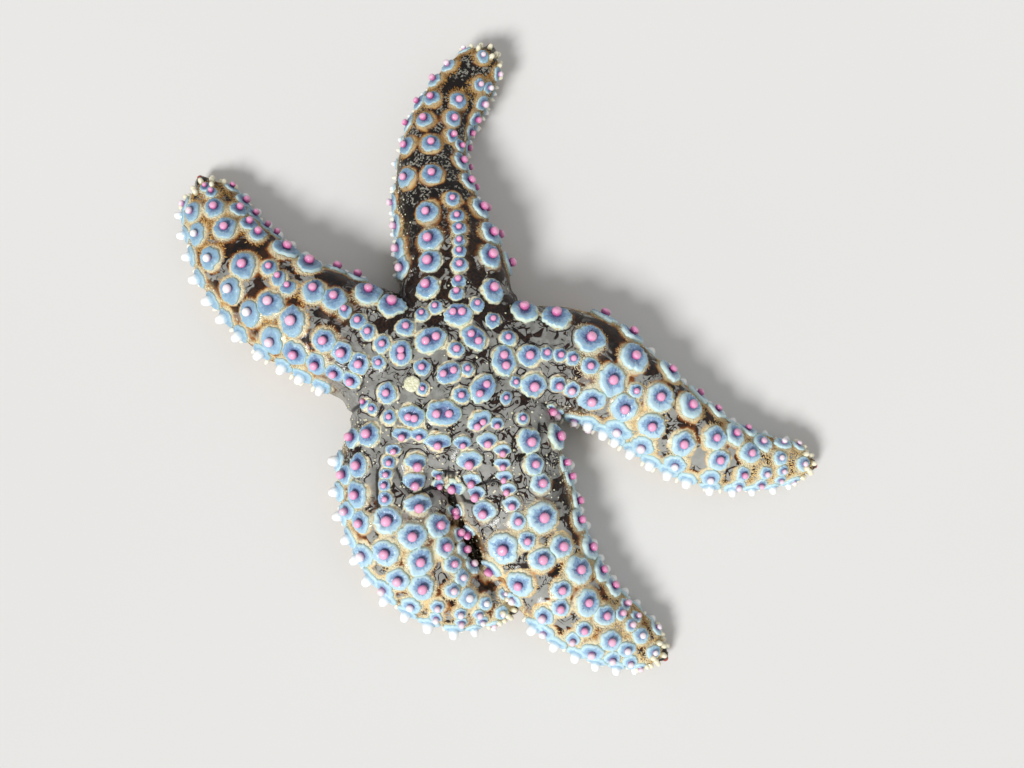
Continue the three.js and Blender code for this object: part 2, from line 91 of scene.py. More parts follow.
ARMS = {
    "north": {
        "stations": [
            [1, 4, 16, 25.5, 0, 0],
            [0, 26, 15.5, 23, -2, 0],
            [-2, 36, 14, 21, -3, 0],
            [-4, 44.5, 12.5, 19.5, -3, 0],
            [-6, 53, 11, 18, -2, 0],
            [-6.5, 63, 9.5, 16, 0, 0],
            [-4.5, 73, 8.5, 14, 0, 0],
            [0.4, 81.8, 8.4, 12.4, 0, 0.6],
            [5.2, 88.6, 7.2, 10.8, 0, 2],
            [8, 92.6, 5.2, 9, 0, 2.8],
            [9.4, 95.2, 2.4, 6.5, 0, 3.4],
        ],
        "rows": [
            ["ridge", 95, 87, [22, 25.3, 29.5, 33, 36, 39.5, 43, 48]],
            ["back", 97, 92, [56.5, 65.5]],
            ["tip", 112, 118, [72, 78]],
            ["tip", 63, 80, [69.5, 75.2, 81.1]],
            ["back", 122, 115, [24.7, 32.5, 38.5, 46.3]],
            ["back", 135, 135, [57, 65]],
            ["side", 157, 172, [34.3, 39.7, 46.9, 53]],
            ["tip", 154, 136, [71.3, 76.5, 83.5, 88.6]],
            ["back", 64, 62, [22.9, 30.7]],
            ["back", 47, 42, [37.3, 45, 54, 61.5, 67.5]],
            ["tip", 64, 64, [88.9]],
            ["side", 17, 6, evenly(30, 70, 6)],
            ["tip", 16, 41, [76.1, 81, 85.7, 90.5]],
            ["tip", 30, 150, [95.5, 96, 95.5]],
            ["margin", 190, 190, evenly(34, 92, 11)],
            ["margin", -16, -16, evenly(33, 92, 11)],
        ],
    },
    "west": {
        "stations": [
            [-3, 1, 16, 25.5, 0, 0],
            [-20, 8.5, 16.5, 23.5, -2, 0],
            [-33.5, 14, 15.5, 22, -3, 0],
            [-46, 20.5, 14.2, 20, -3.5, 0],
            [-57.5, 31.5, 12.3, 17, -2.5, 0],
            [-63.8, 41.5, 9.8, 14, -1, 0],
            [-66.6, 48.4, 8.4, 11.5, 0, 0.3],
            [-68.4, 52.6, 5.8, 9, 0, 0.8],
            [-69.6, 55, 2.6, 6, 0, 1.2],
        ],
        "rows": [
            ["ridge", 95, 86, [20.7, 25.5, 29, 33.3]],
            ["back", 80, 82, [37.5, 43.5]],
            ["ridge", 90, 87, [50.7, 54.6, 58.5]],
            ["back", 100, 90, [64, 76]],
            ["tip", 88, 82, [82.9, 87.6]],
            ["back", 118, 110, [24.3, 29.7, 35.1, 44.7, 52]],
            ["side", 136, 140, [24.9, 29.8, 34.8, 41, 47]],
            ["side", 131, 126, [54.5, 62, 71]],
            ["tip", 130, 123, [78.7, 84.3]],
            ["back", 60, 57, [23, 29.7]],
            ["back", 50, 50, [50.7, 60]],
            ["tip", 62, 54, [69.5, 74.4, 80.3]],
            ["side", 22, 21, [35.7, 41.7]],
            ["tip", 23, 26, [67.5, 72.2, 77.6, 83.6]],
            ["tip", 25, 150, [88.5, 90, 88.5]],
            ["margin", 163, 163, evenly(32, 86, 11)],
            ["margin", -16, -16, evenly(34, 86, 10)],
        ],
    },
    "southwest": {
        "stations": [
            [-2, -3, 14, 25.5, 0, 0],
            [-12, -13, 14, 23, 0, 0],
            [-15.8, -22.5, 14.8, 21.5, 0, 0],
            [-15.2, -32, 14.8, 20, 0, 0],
            [-11.2, -42.6, 14.2, 18.5, 0, 0],
            [-6, -50, 13, 16.5, 0, 0],
            [1, -55.4, 10.8, 13.5, 0, 0],
            [8.6, -58.2, 7.6, 10.5, 0, 0.4],
            [13.6, -59.8, 4.6, 8, 0, 0.8],
            [16.2, -60.6, 2, 5.5, 0, 1.2],
        ],
        "rows": [
            ["ridge", 90, 82, [21.2, 25.4, 28.4, 31.2, 33.8, 37]],
            ["back", 79, 92, [42, 48.1]],
            ["back", 88, 71, [54.7, 59.6]],
            ["back", 60, 50, [23.6, 29.7, 34.8, 40.5]],
            ["back", 63, 58, [48.8, 54.9]],
            ["side", 40, 30, [18.8, 24.8, 31.1, 37.6, 47.1, 54.7]],
            ["back", 109, 106, [27.8, 34.4, 41.4]],
            ["ridge", 135, 137, [30.2, 35.6]],
            ["back", 120, 104, [48.6, 55.9, 61.6, 66.1]],
            ["side", 147, 134, [46.7, 55.5, 61.8, 67.5]],
            ["tip", 88, 86, [65.7, 70.2, 75]],
            ["tip", 61, 66, [64.9, 69.7, 74.2]],
            ["tip", 39, 50, [60.5, 65.9, 70.7, 75.7]],
            ["margin", 17, 17, evenly(29, 79, 12)],
            ["tip", 25, 120, [79, 80, 79]],
        ],
    },
    "southeast": {
        "stations": [
            [2, -3, 14, 25.5, 0, 0],
            [12.5, -13, 15, 23, 0, 0],
            [14.6, -26, 16.4, 21.5, 0, 0],
            [18.9, -38, 15.4, 20, 0, 0],
            [24.5, -48, 13.4, 18, 0, 0],
            [32, -58.5, 11.7, 15.5, 0, 0],
            [41, -65.2, 9.8, 12.8, 0, 0],
            [49.8, -69.6, 7.2, 9.8, 0, 0.4],
            [54.2, -71.8, 4.8, 7.6, 0, 0.8],
            [56.6, -73, 2.2, 5.2, 0, 1.2],
        ],
        "rows": [
            ["ridge", 86, 84, [17, 25.2, 28.6, 31.6, 34.8, 38.6, 42.8, 48.2]],
            ["back", 87, 87, [54.2, 63.6]],
            ["back", 74, 72, [67, 74.5]],
            ["back", 97, 98, [70.9, 77.1]],
            ["back", 107, 111, [23, 29, 35.6]],
            ["back", 102, 113, [44.6, 54.2, 62]],
            ["tip", 115, 101, [80.8, 85.1, 88.8]],
            ["side", 147, 165, [22.4, 29, 36.2, 44.6]],
            ["side", 151, 151, [50.6, 58.9, 67.2, 75.5]],
            ["tip", 136, 129, [81.1, 85.8]],
            ["back", 54, 60, [26.8, 30.8, 33.6, 37.9, 47.3]],
            ["side", 27, 23, [30.8, 36, 41, 50]],
            ["side", 50, 48, [56.6, 66.2, 74]],
            ["side", 22, 24, [59.7, 68.8]],
            ["tip", 76, 73, [81.9, 86.7]],
            ["tip", 43, 47, [79.6, 84.6, 89.5]],
            ["tip", 25, 150, [93, 94, 92.5]],
            ["margin", 17, 17, evenly(67, 92, 6)],
            ["margin", 196, 196, evenly(32, 91, 12)],
        ],
    },
    "east": {
        "stations": [
            [3, 1, 16, 25.5, 0, 0],
            [24.5, 6.5, 15.2, 23.5, 0, 0],
            [37.5, 3.8, 14.6, 22, 0, 0],
            [48, -2.5, 12.8, 20, 0, 0],
            [59, -11, 11.6, 18, 0, 0],
            [71.5, -18, 9.8, 15, 0, 0],
            [82, -20.3, 8, 12.4, 0, 0],
            [91, -20.6, 6.2, 9.8, 0, 0.5],
            [96.4, -21, 4.4, 7.6, 0, 1],
            [99.4, -21.3, 2.2, 5.2, 0, 1.4],
        ],
        "rows": [
            ["ridge", 89, 86, [24.4, 28, 31.8, 37]],
            ["back", 84, 84, [44.2]],
            ["ridge", 88, 88, [51.2]],
            ["back", 97, 97, [57.4]],
            ["back", 98, 92, [76.6, 88, 97]],
            ["side", 140, 128, [21.4, 27.4]],
            ["back", 107, 115, [34.6, 46]],
            ["back", 117, 122, [66, 82.5, 92]],
            ["side", 162, 145, [36.4, 43, 55.6]],
            ["side", 158, 150, [67, 74.3, 87.5]],
            ["back", 63, 55, [19, 28, 34.6, 41.8]],
            ["back", 66, 76, [51.4, 60.4, 69.6, 80]],
            ["side", 28, 5, [24, 31, 39.4, 47]],
            ["side", 35, 42, [54.4, 62, 71, 80]],
            ["tip", 61, 69, [87, 93, 97.8]],
            ["tip", 32, 45, [86.9, 92.4, 97.6]],
            ["tip", 130, 130, [98.5]],
            ["tip", 25, 145, [102.5, 104, 103]],
            ["margin", 17, 17, evenly(46, 101, 12)],
            ["margin", 196, 196, evenly(38, 101, 12)],
        ],
    },
}

# Pairs of spines on the disc that share a cushion: [x, y, turn in degrees, half their distance].
DISC_PAIRS = [
    [-2, 0.3, 20, 1.4], [4.6, 9.6, -45, 1.35], [-6.6, 9, 25, 1.5], [12.4, 3.7, -80, 1.4],
    [6.9, -3.8, 55, 1.5], [-3.4, -10.2, 0, 1.6], [6.2, -12.6, 40, 0.9], [-11.4, -11.2, -10, 0.8],
    [-14.3, 5.4, -85, 0.8], [0.3, 16.4, 0, 1.2],
]

# Single spines on the disc: [x, y, size]. The last two are too small to be in the solids.
DISC_SINGLES = [
    [0, 6.5, 0.95], [2.8, 1.3, 0.9], [-8.8, 1.7, 0.8], [1.3, -5.5, 0.9], [5.3, 18.8, 0.75],
    [-5.4, 18.1, 0.7], [-9, 16.1, 0.68], [-13.3, 12.4, 0.9], [-20, 3.2, 0.75], [-17.7, -4.9, 1],
    [-17, -11, 0.72], [-9.4, -15.9, 0.8], [-4.6, -17.9, 1.05], [1.8, -17.9, 0.75], [8.2, -17.5, 0.95],
    [17.3, -11, 0.62], [12.9, -5.9, 0.6], [15.5, -1.7, 0.85], [19.1, 5.2, 1.2], [13.6, 9.9, 0.8],
    [9.5, 14.8, 0.8], [-8.6, -3.7, 0.55], [-21.5, -8.6, 0.6],
]

# Creases where the bent arm bases fold over each other: [x, y] along each.
FOLDS = [
    [[-15, -24.3], [-13.1, -28.5], [-10.3, -30.8], [-7.4, -29.8], [-5.1, -28.8], [-1.5, -29.1]],
    [[-3.5, -25.2], [-0.3, -25.8], [0, -29.5], [1.8, -32.4], [5.1, -33.2], [7.9, -32.6]],
    [[5.3, -28.5], [8.8, -27.3], [11.4, -27.3], [12.7, -30.1], [12.9, -32.7]],
    [[-20.2, -24.3], [-20.3, -27.6], [-20.1, -31.5], [-19.6, -36.1], [-18.1, -39]],
    [[17.1, -21.1], [19.7, -19.4], [22.4, -17.1], [22.8, -12]],
]
FOLD = {"width": 0.9, "depth": 1.1}
# The dark opening between the curled arm and its neighbour.
OPENING = {"path": [[4.8, -42.2], [5.2, -44.6], [6.0, -47.0]], "width": 2.3, "depth": 4}

# By kind: cushion radius, spine radius, spine height above the cushion's foot.
KINDS = {
    "ridge": (2.2, 0.92, 1.7),
    "back": (3.6, 1.32, 2.2),
    "side": (3.4, 1.26, 2.2),
    "tip": (2.65, 1.06, 1.9),
    "disc": (2.6, 1.06, 1.8),
    "pair": (4.2, 1.08, 1.8),
    "margin": (2.7, 1.45, 2.8),
    "rosette": (1.0, 0.78, 1.5),
    "lower": (1.2, 0.7, 2.2),
}
SMALL_SPINE = 0.6  # share of the size of spines crowded at an arm's foot and under the straight arm
PAIR_CUSHION = 2.6  # radius of a pair's cushion, without the distance between its spines
LEAN = {  # how far the spines lean towards the arm's tip
    "ridge": 0.04, "back": 0.04, "side": 0.04, "tip": 0.1, "margin": 0.1, "rosette": 0.4, "lower": 0.1,
    "disc": 0, "pair": 0,
}
# The cushions of each arm, as shares of the sizes above.
ARM_CUSHIONS = {"north": 0.86, "west": 0.98, "southwest": 1.04, "southeast": 1.08, "east": 1.08}
CUSHION_OVERLAP = 0.1
CUSHION_HEIGHT = 0.85
CUSHION_RIM = {"Wave": 0.6, "Wave Size": 1.3, "Scallop": 0.34, "Scallop Size": 7.5, "Crumple": 0.7}
LARGEST_CUSHION = 3.6
HEAD_GAP = 0.2  # between the heads of neighbouring spines
BURIED = 2.2  # a site this far from the skin lies inside a neighbouring arm
ABOVE = 30.0  # a level above the whole animal

# Small blunt spines at each arm's tip: distance from its end, angles over the back.
ROSETTE = [
    (5.2, (20, 160)), (3.2, (-5, 35, 75, 110, 145, 185)), (1.5, (5, 60, 120, 175)), (0.4, (30, 90, 150)),
]
# Short spines under the margins: angle, distance of the first.
LOWER_ROWS = [(-24, 33), (204, 34.5)]
LOWER_STEP = 3.2
FOOT_ROWS = [-0.7, -0.25, 0.25, 0.7]  # shares of the groove's half width
FOOT_STEP = 2.0
FOOT_RADIUS = 0.62
MOUND = 0.55  # how far the skin rises under a cushion
LONGEST_ARM = 112.0  # a little more than any arm, to keep the unwrap inside its square
GRAIN_PATCH = 0.0015  # size of a grain's patch on the unwrap
FRINGE = {"Density": 7e6, "Smallest": 0.7 * MM, "Largest": 1.25 * MM}
FIRST_FRINGE_SEED = 3
FRINGE_GRAIN = (0.46, 0.17, 0.2)  # length, width and height, as shares of a grain's size
BEAD = (0.5, 0.45, 0.5)
SMALLEST_BEAD = 0.4
BEADS = [  # [piece, mask on the skin, grains in a square metre, size of the largest, seed]
    ["disc_dots", "dots", 0.22e6, 0.85, 11],
    ["margin_beads", "strip_grit", 0.9e6, 0.7, 12],
    ["sole_beads", "sole_grit", 0.7e6, 0.95, 13],
]

# Places in millimetres from the disc's middle.
CAMERA = {"eye": [-10.31, -45.31, 337.94], "target": [15.5, -0.6, 12], "lens": 42.97, "sensor": 36}

FLOOR_HALF = 15  # metres from the floor's middle to its sides

CENTRE_LOW, CENTRE_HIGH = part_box("mouth")
CENTRE = np.array([CENTRE_LOW.x + CENTRE_HIGH.x, CENTRE_LOW.y + CENTRE_HIGH.y, 0]) / 2 / MM


def to_frame(points):
    return (np.asarray(points, float) + CENTRE) * MM


def shade(red, green, blue):
    """A colour as written on paper, 0 to 255, turned into light."""
    def one(value):
        value /= 255
        return value / 12.92 if value <= 0.04045 else ((value + 0.055) / 1.055) ** 2.4
    return (one(red), one(green), one(blue), 1)


def smooth_step(low, high, values):
    """Runs smoothly from 0 at low to 1 at high."""
    share = np.clip((np.asarray(values, float) - low) / (high - low), 0, 1)
    return share * share * (3 - 2 * share)


def unit(vectors):
    return vectors / np.maximum(np.linalg.norm(vectors, axis=-1, keepdims=True), 1e-9)


# ---- routes of the arms --------------------------------------------------------------------------


def curve_through(stations, shares):
    """Points on the smooth curve through the stations, at shares of its run."""
    rows = np.asarray(stations, float)
    last = len(rows) - 2
    rows = np.vstack([2 * rows[0] - rows[1], rows, 2 * rows[-1] - rows[-2]])
    place = np.clip(shares, 0, 1) * (last + 1)
    i = np.minimum(place.astype(int), last)
    f = (place - i)[:, None]
    before, a, b, after = rows[i], rows[i + 1], rows[i + 2], rows[i + 3]
    slope_a, slope_b = (b - before) / 2, (after - a) / 2
    square = -3 * a + 3 * b - 2 * slope_a - slope_b
    cube = 2 * a - 2 * b + slope_a + slope_b
    return a + slope_a * f + square * f**2 + cube * f**3


class Route:
    """The smooth curve through an arm's stations, by distance from the disc's middle."""

    DIVISIONS = 200

    def __init__(self, stations):
        self.stations = np.array(stations, float)
        self.start = math.hypot(*self.stations[0, :2])
        self.shares = np.linspace(0, 1, self.DIVISIONS + 1)
        steps = np.diff(curve_through(self.stations, self.shares)[:, :2], axis=0)
        self.reach = np.concatenate([[0], np.cumsum(np.hypot(*steps.T))])
        self.length = self.start + self.reach[-1]

    def at(self, distance):
        """Place, heading, left and section sizes at each distance."""
        reach = np.clip(np.atleast_1d(distance) - self.start, 0, self.reach[-1])
        t = np.interp(reach, self.reach, self.shares)
        row = curve_through(self.stations, t)
        step = 1e-4
        ahead = curve_through(self.stations, t + step) - curve_through(self.stations, t - step)
        ahead = ahead[:, :2]
        heading = unit(np.pad(ahead, ((0, 0), (0, 1))))
        left = np.stack([-heading[:, 1], heading[:, 0], np.zeros(len(t))], 1)
        place = np.pad(row[:, :2], ((0, 0), (0, 1)))
        return Section(place, heading, left, row[:, 2], row[:, 3], row[:, 4], np.maximum(0, row[:, 5]))


class Section:
    def __init__(self, place, heading, left, half, height, shift, lift):
        self.place, self.heading, self.left = place, heading, left
        self.half, self.height, self.shift, self.lift = half, height, shift, lift

    def back(self, degrees):
        """Points over the back at angles from the right margin (0) to the left one (180)."""
        angle = np.radians(degrees)
        across, up = np.cos(angle), np.sin(angle)
        margin = MARGIN_LEVEL * self.height
        side = -np.sign(across) * np.abs(across) ** SIDE_FULLNESS * self.half
        side = side + np.where(up >= 0, self.shift * up * up, 0)
        over = margin + (self.height - margin) * np.abs(up) ** CROWN_FULLNESS
        level = np.where(up >= 0, over, margin + up * margin)
        point = self.place + self.left * side[:, None]
        point[:, 2] = level + self.lift
        return point


ROUTES = {name: Route(arm["stations"]) for name, arm in ARMS.items()}


def back_normal(route, distance, degrees):
    step, turn = 0.4, 3
    along = route.at(distance + step).back(degrees) - route.at(distance - step).back(degrees)
    here = route.at(distance)
    round_it = here.back(degrees + turn) - here.back(degrees - turn)
    return unit(np.cross(along, round_it))


# ---- the body ------------------------------------------------------------------------------------


def ring_outline():
    """One closed section: the back's angles, then (share across, level share) round the sole."""
    back = [(angle, None, None) for angle in np.linspace(0, 180, BACK_POINTS)]
    turns = np.linspace(0, math.pi / 2, EDGE_POINTS + 1)[1:]
    edge = [(SOLE_EDGE + (1 - SOLE_EDGE) * math.cos(a), 1 - math.sin(a)) for a in turns]
    sole = [(share, 0) for share in np.linspace(SOLE_EDGE, -SOLE_EDGE, SOLE_POINTS)[1:-1]]
    far_edge = [(-share, level) for share, level in reversed(edge)]
    return back + [(None, share, level) for share, level in edge + sole + far_edge]


def arm_rings(route):
    """The fine rings of one arm, with a rounded end."""
    distances = np.arange(STUB_START, route.length, SECTION_STEP)
    turns = np.concatenate([np.zeros(len(distances)), np.radians(END_TURNS)])
    section = route.at(np.concatenate([distances, np.full(len(END_TURNS), route.length)]))
    reach = (np.sin(turns) * section.half)[:, None]
    middle = section.place + section.heading * reach
    core = section.lift + section.height * CORE_LEVEL
    middle[:, 2] = core
    points = []
    for angle, share, level in ring_outline():
        if angle is not None:
            point = section.back(np.full(len(turns), angle))
        else:
            point = section.place + section.left * share * section.half[:, None]
            point[:, 2] = level * MARGIN_LEVEL * section.height + section.lift
        from_core = point - np.column_stack([section.place[:, :2], core])
        points.append(middle + from_core * np.cos(turns)[:, None])
    return np.stack(points, 1)


def loft(rings):
    """Faces over a run of equal rings, with a fan at each end."""
    count, size = rings.shape[:2]
    points = list(rings.reshape(-1, 3)) + [rings[0].mean(0), rings[-1].mean(0)]
    faces = []
    for i in range(count - 1):
        for j in range(size):
            a = i * size + j
            b = i * size + (j + 1) % size
            faces.append((a, a + size, b + size, b))
    first, last = len(points) - 2, len(points) - 1
    for j in range(size):
        k = (j + 1) % size
        faces.append((j, k, first))
        faces.append(((count - 1) * size + k, (count - 1) * size + j, last))
    return points, faces


def turned_rings(profile, sides):
    """Rings about Z, one through each (radius, height) point."""
    turns = [2 * math.pi * k / sides for k in range(sides)]
    return np.array([[(r * math.cos(t), r * math.sin(t), z) for t in turns] for r, z in profile])


def disc_dome():
    """The disc as a turned shape through its profile."""
    profile = curve_through(DISC_PROFILE, np.linspace(0, 1, DOME_RINGS)) * (DISC_RADIUS, DISC_HEIGHT)
    return loft(turned_rings(profile, DOME_SIDES))


def placed(name, data):
    """A new object in the scene."""
    obj = bpy.data.objects.new(name, data)
    bpy.context.scene.collection.objects.link(obj)
    return obj


def evaluated_mesh(obj, name):
    graph = bpy.context.evaluated_depsgraph_get()
    mesh = bpy.data.meshes.new_from_object(obj.evaluated_get(graph), depsgraph=graph)
    mesh.name = name
    return mesh


def drop(*objects):
    for obj in objects:
        mesh = obj.data
        bpy.data.objects.remove(obj)
        if mesh.users == 0:
            bpy.data.meshes.remove(mesh)


def remeshed_body():
    """All arms and the disc melted into one closed skin."""
    points, faces = [], []
    shells = [loft(arm_rings(route)) for route in ROUTES.values()] + [disc_dome()]
    for shell_points, shell_faces in shells:
        start = len(points)
        points += shell_points
        faces += [tuple(start + i for i in face) for face in shell_faces]
    joined = bpy.data.meshes.new("body_shells")
    joined.from_pydata([tuple(p) for p in to_frame(points)], [], faces)
    joined.validate()
    rough = placed("body_shells", joined)
    remesh = rough.modifiers.new("melt", "REMESH")
    remesh.mode = "VOXEL"
    remesh.voxel_size = VOXEL * MM
    mesh = evaluated_mesh(rough, "skin")
    drop(rough)
    return placed("skin", mesh)


def read(items, field, width=3, kind=np.float32):
    """One field of all of a mesh's points or edges, a row for each."""
    flat = np.empty(len(items) * width, kind)
    items.foreach_get(field, flat)
    return flat.reshape(-1, width)


def read_points(mesh):
    return read(mesh.vertices, "co").astype(float) / MM - CENTRE


def read_normals(mesh):
    return read(mesh.vertices, "normal").astype(float)


def set_places(mesh, places):
    """New places, in metres, for all of a mesh's points."""
    mesh.vertices.foreach_set("co", np.asarray(places, np.float32).ravel())
    mesh.update()


def write_points(mesh, points):
    set_places(mesh, to_frame(points))


def shade_smooth(mesh):
    mesh.polygons.foreach_set("use_smooth", np.ones(len(mesh.polygons), bool))


def relaxed(points, edges, rounds, weight):
    """Each point moves towards the middle of its neighbours, by its weight."""
    a, b = edges.T
    count = np.bincount(edges.ravel(), minlength=len(points))[:, None]
    for _ in range(rounds):
        total = np.stack([
            np.bincount(a, points[b, k], len(points)) + np.bincount(b, points[a, k], len(points))
            for k in range(3)
        ], 1)
        points = points + (total / count - points) * weight[:, None]
    return points


def away_from(points, start, end):
    """The way to each point from the nearest place on a line."""
    along = end - start
    share = np.clip((points - start) @ along / max(along @ along, 1e-9), 0, 1)
    return points - start - share[:, None] * along


def to_path(points, path):
    """Flat distance from each point to a path of [x, y] places."""
    path = np.asarray(path, float)
    ways = [away_from(points[:, :2], a, b) for a, b in zip(path[:-1], path[1:])]
    return np.min([np.linalg.norm(way, axis=1) for way in ways], axis=0)


class Lay:
    """Where each point lies: its arm, distance along it and left to its end, and place across it."""

    def __init__(self, points):
        rows = np.array([self.along(points, route) for route in ROUTES.values()])
        self.arm = rows[:, 0].argmin(0)
        self.share, self.second = np.sort(rows[:, 0], axis=0)[:2]
        chosen = rows[self.arm, :, np.arange(len(points))]
        _, self.distance, self.across, self.half, self.height, self.lift = chosen.T
        self.left = np.array([route.length for route in ROUTES.values()])[self.arm] - self.distance

    @staticmethod
    def along(points, route):
        """Each point's distance from one arm's line, as a share of the half width there, and the rest."""
        steps = np.arange(0, route.length + LAY_STEP, LAY_STEP)
        section = route.at(steps)
        early = steps < route.start
        section.place[early] *= (steps[early] / route.start)[:, None]
        gap = np.full(len(points), FAR)
        nearest = np.zeros(len(points), int)
        for i, place in enumerate(section.place[:, :2]):
            away = np.hypot(points[:, 0] - place[0], points[:, 1] - place[1])
            closer = away < gap
            gap[closer], nearest[closer] = away[closer], i
        away = points[:, :2] - section.place[nearest, :2]
        across = (away * section.left[nearest, :2]).sum(1)
        sizes = [size[nearest] for size in (section.half, section.height, section.lift)]
        return [gap / sizes[0], steps[nearest], across, *sizes]


def bumpiness(points, size, seed):
    """Smooth noise from -1 to 1 with bumps of about the given size."""
    offset = Vector((seed * 7.3, seed * 3.1, seed * 5.7))
    return np.array([noise.noise(Vector(p) / size + offset) for p in points])


def close_to(points, path, width, power=2):
    """1 on a path of [x, y] places, fading to nothing beside it."""
    return np.exp(-(to_path(points, path) / width) ** power)


def meeting_lines(lay, from_middle):
    """1 along the lines where two arms meet, fading towards the disc's middle and past the arms."""
    line = 1 - smooth_step(0.0, 0.16, lay.second - lay.share)
    line *= smooth_step(17, 27, from_middle) * smooth_step(0.55, 0.8, lay.share)
    return line * (1 - smooth_step(1.25, 1.5, lay.second))


def hollow_beneath(points, lay):
    """How deep the tube-foot grooves and the mouth are cut into the underside."""
    inside = np.clip(1 - (lay.across / (GROOVE["width"] * lay.half)) ** 2, 0, 1) ** 0.7
    groove = GROOVE["depth"] * lay.height * inside * smooth_step(0.2 * lay.half, 0.6 * lay.half, lay.left)
    off_mouth = np.hypot(*points[:, :2].T) / MOUTH["radius"]
    return np.maximum(groove, MOUTH["depth"] * np.clip(1 - off_mouth**2, 0, 1) ** 0.5)


def shaped_skin():
    """The melted body smoothed, creased at its folds, lifted off the floor and grooved beneath."""
    skin = remeshed_body()
    mesh = skin.data
    points = read_points(mesh)
    from_middle = np.hypot(points[:, 0], points[:, 1])
    weight = 0.12 + 0.38 * (1 - smooth_step(26, 44, from_middle))
    points = relaxed(points, read(mesh.edges, "vertices", 2, np.int32), SMOOTH_ROUNDS, weight)
    write_points(mesh, points)
    normals = read_normals(mesh)

    folds = np.max([close_to(points, path, FOLD["width"]) for path in FOLDS], axis=0)
    folds *= smooth_step(0.2, 0.6, normals[:, 2])
    crease = np.maximum(folds, meeting_lines(Lay(points), np.hypot(points[:, 0], points[:, 1])))
    opening = close_to(points, OPENING["path"], OPENING["width"], 4) * (normals[:, 2] > 0)
    lumps = sum(height * bumpiness(points, size, seed) for height, size, seed in LUMPS)
    points = points + normals * (lumps - SKIN_INSET - FOLD["depth"] * crease)[:, None]
    points[:, 2] -= OPENING["depth"] * opening
    crease = np.maximum(crease, opening)

    points[:, 2] = SOLE_LIFT + np.maximum(points[:, 2], 0) * (1 - SOLE_LIFT / DISC_HEIGHT)
    under = smooth_step(0.5, 0.85, -normals[:, 2])
    points[:, 2] += hollow_beneath(points, Lay(points)) * under
    write_points(mesh, points)
    shade_smooth(mesh)
    return skin, crease, under


# ---- places on the skin --------------------------------------------------------------------------


def slump_at(spot):
    """Where the disc folds down between the two lower arms its spines sit low on their cushions."""
    x, y = spot[0], spot[1]
    low = smooth_step(-9, -15, y) * (1 - smooth_step(-33, -38, y)) * (1 - smooth_step(13, 19, abs(x)))
    high = 0.45 * smooth_step(11, 17, y) * (1 - smooth_step(25, 31, y))
    return float(low - high)


class Site:
    """One spine or cushion: where it stands, which way is up, and its sizes in millimetres."""

    def __init__(self, kind, spot, upright, heading, size, distance=0.0, arm=None):
        self.kind, self.spot, self.upright, self.heading = kind, spot, upright, heading
        self.cushion, self.radius, self.height = (value * size for value in KINDS[kind])
        self.distance, self.arm = distance, arm
        self.spread = 0.0  # half the distance between the two spines of a pair
        self.lean = np.zeros(3)
        self.slump = slump_at(spot)
        if kind == "back":
            self.cushion *= 1 - 0.22 * max(0, self.slump)
        self.drift = np.array([-0.3 * min(0, self.slump), self.slump, 0]) * 0.32 * self.cushion


def of_each(sites, field):
    return np.array([getattr(site, field) for site in sites])


def width_size(kind, half):
    """Spines get smaller as an arm narrows."""
    fullest = {"ridge": 14, "tip": 9, "margin": 10}.get(kind, 13)
    return float(np.clip(half / fullest, 0.6, 1.05) ** 0.7)


def arm_sites():
    found = []
    for name, arm in ARMS.items():
        route = ROUTES[name]
        for kind, first, last, distances in arm["rows"]:
            angles = np.linspace(first, last, len(distances))
            distances = np.array(distances, float)
            section = route.at(distances)
            spots = section.back(angles)
            uprights = back_normal(route, distances, angles)
            for i, distance in enumerate(distances):
                size = width_size(kind, section.half[i])
                if (kind == "side" and distance < 20) or (kind == "margin" and name == "north"):
                    size *= SMALL_SPINE
                site = Site(kind, spots[i], uprights[i], section.heading[i], size, distance, name)
                if kind != "ridge":
                    site.cushion *= ARM_CUSHIONS[name]
                    site.radius *= ARM_CUSHIONS[name] ** 0.4
                found.append(site)
    return found


def disc_sites():
    found = []
    up, ahead = np.array([0, 0, 1.0]), np.array([1.0, 0, 0])
    for x, y, size in DISC_SINGLES:
        found.append(Site("disc", np.array([x, y, ABOVE]), up, ahead, size))
    for x, y, turn, spread in DISC_PAIRS:
        heading = np.array([math.cos(math.radians(turn)), math.sin(math.radians(turn)), 0])
        pair = Site("pair", np.array([x, y, ABOVE]), up, heading, 1.0)
        pair.spread = spread
        pair.cushion = PAIR_CUSHION + 1.1 * spread
        found.append(pair)
    return found


def between_lower_arms(spot):
    """Where the two lower arms lie pressed together, and no spines of their margins show."""
    return abs(spot[0]) < 8 and -42 < spot[1] < 0


def skin_tree(skin):
    return BVHTree.FromObject(skin, bpy.context.evaluated_depsgraph_get())


def settled(sites, tree):
    """Moves each site onto the skin and drops those that lie buried."""
    kept = []
    for site in sites:
        if site.arm is None:
            hit = tree.ray_cast(Vector(to_frame(site.spot)), Vector((0, 0, -1)))
            spot, normal = hit[0], hit[1]
        else:
            spot, normal, _, gap = tree.find_nearest(Vector(to_frame(site.spot)))
            if gap > BURIED * MM:
                continue
        site.spot = np.array(spot) / MM - CENTRE
        site.upright = unit(unit(np.array(normal)) + site.upright)
        kept.append(site)
    return kept


def eased_apart(sites):
    """Cushions that would overlap much shrink until they only just do."""
    spots, reach = of_each(sites, "spot"), of_each(sites, "cushion")
    apart = np.linalg.norm(spots[:, None] - spots[None], axis=2)
    np.fill_diagonal(apart, FAR)
    for _ in range(40):
        over = reach[:, None] + reach[None] - CUSHION_OVERLAP - apart
        worst = np.clip(over, 0, None).max(1)
        reach = np.maximum(reach - 0.25 * worst * (reach > 1.5), 1.3)
    for site, value in zip(sites, reach):
        site.radius *= float(np.clip(value / site.cushion, 0.6, 1)) ** 0.5
        site.cushion = float(value)
    return sites


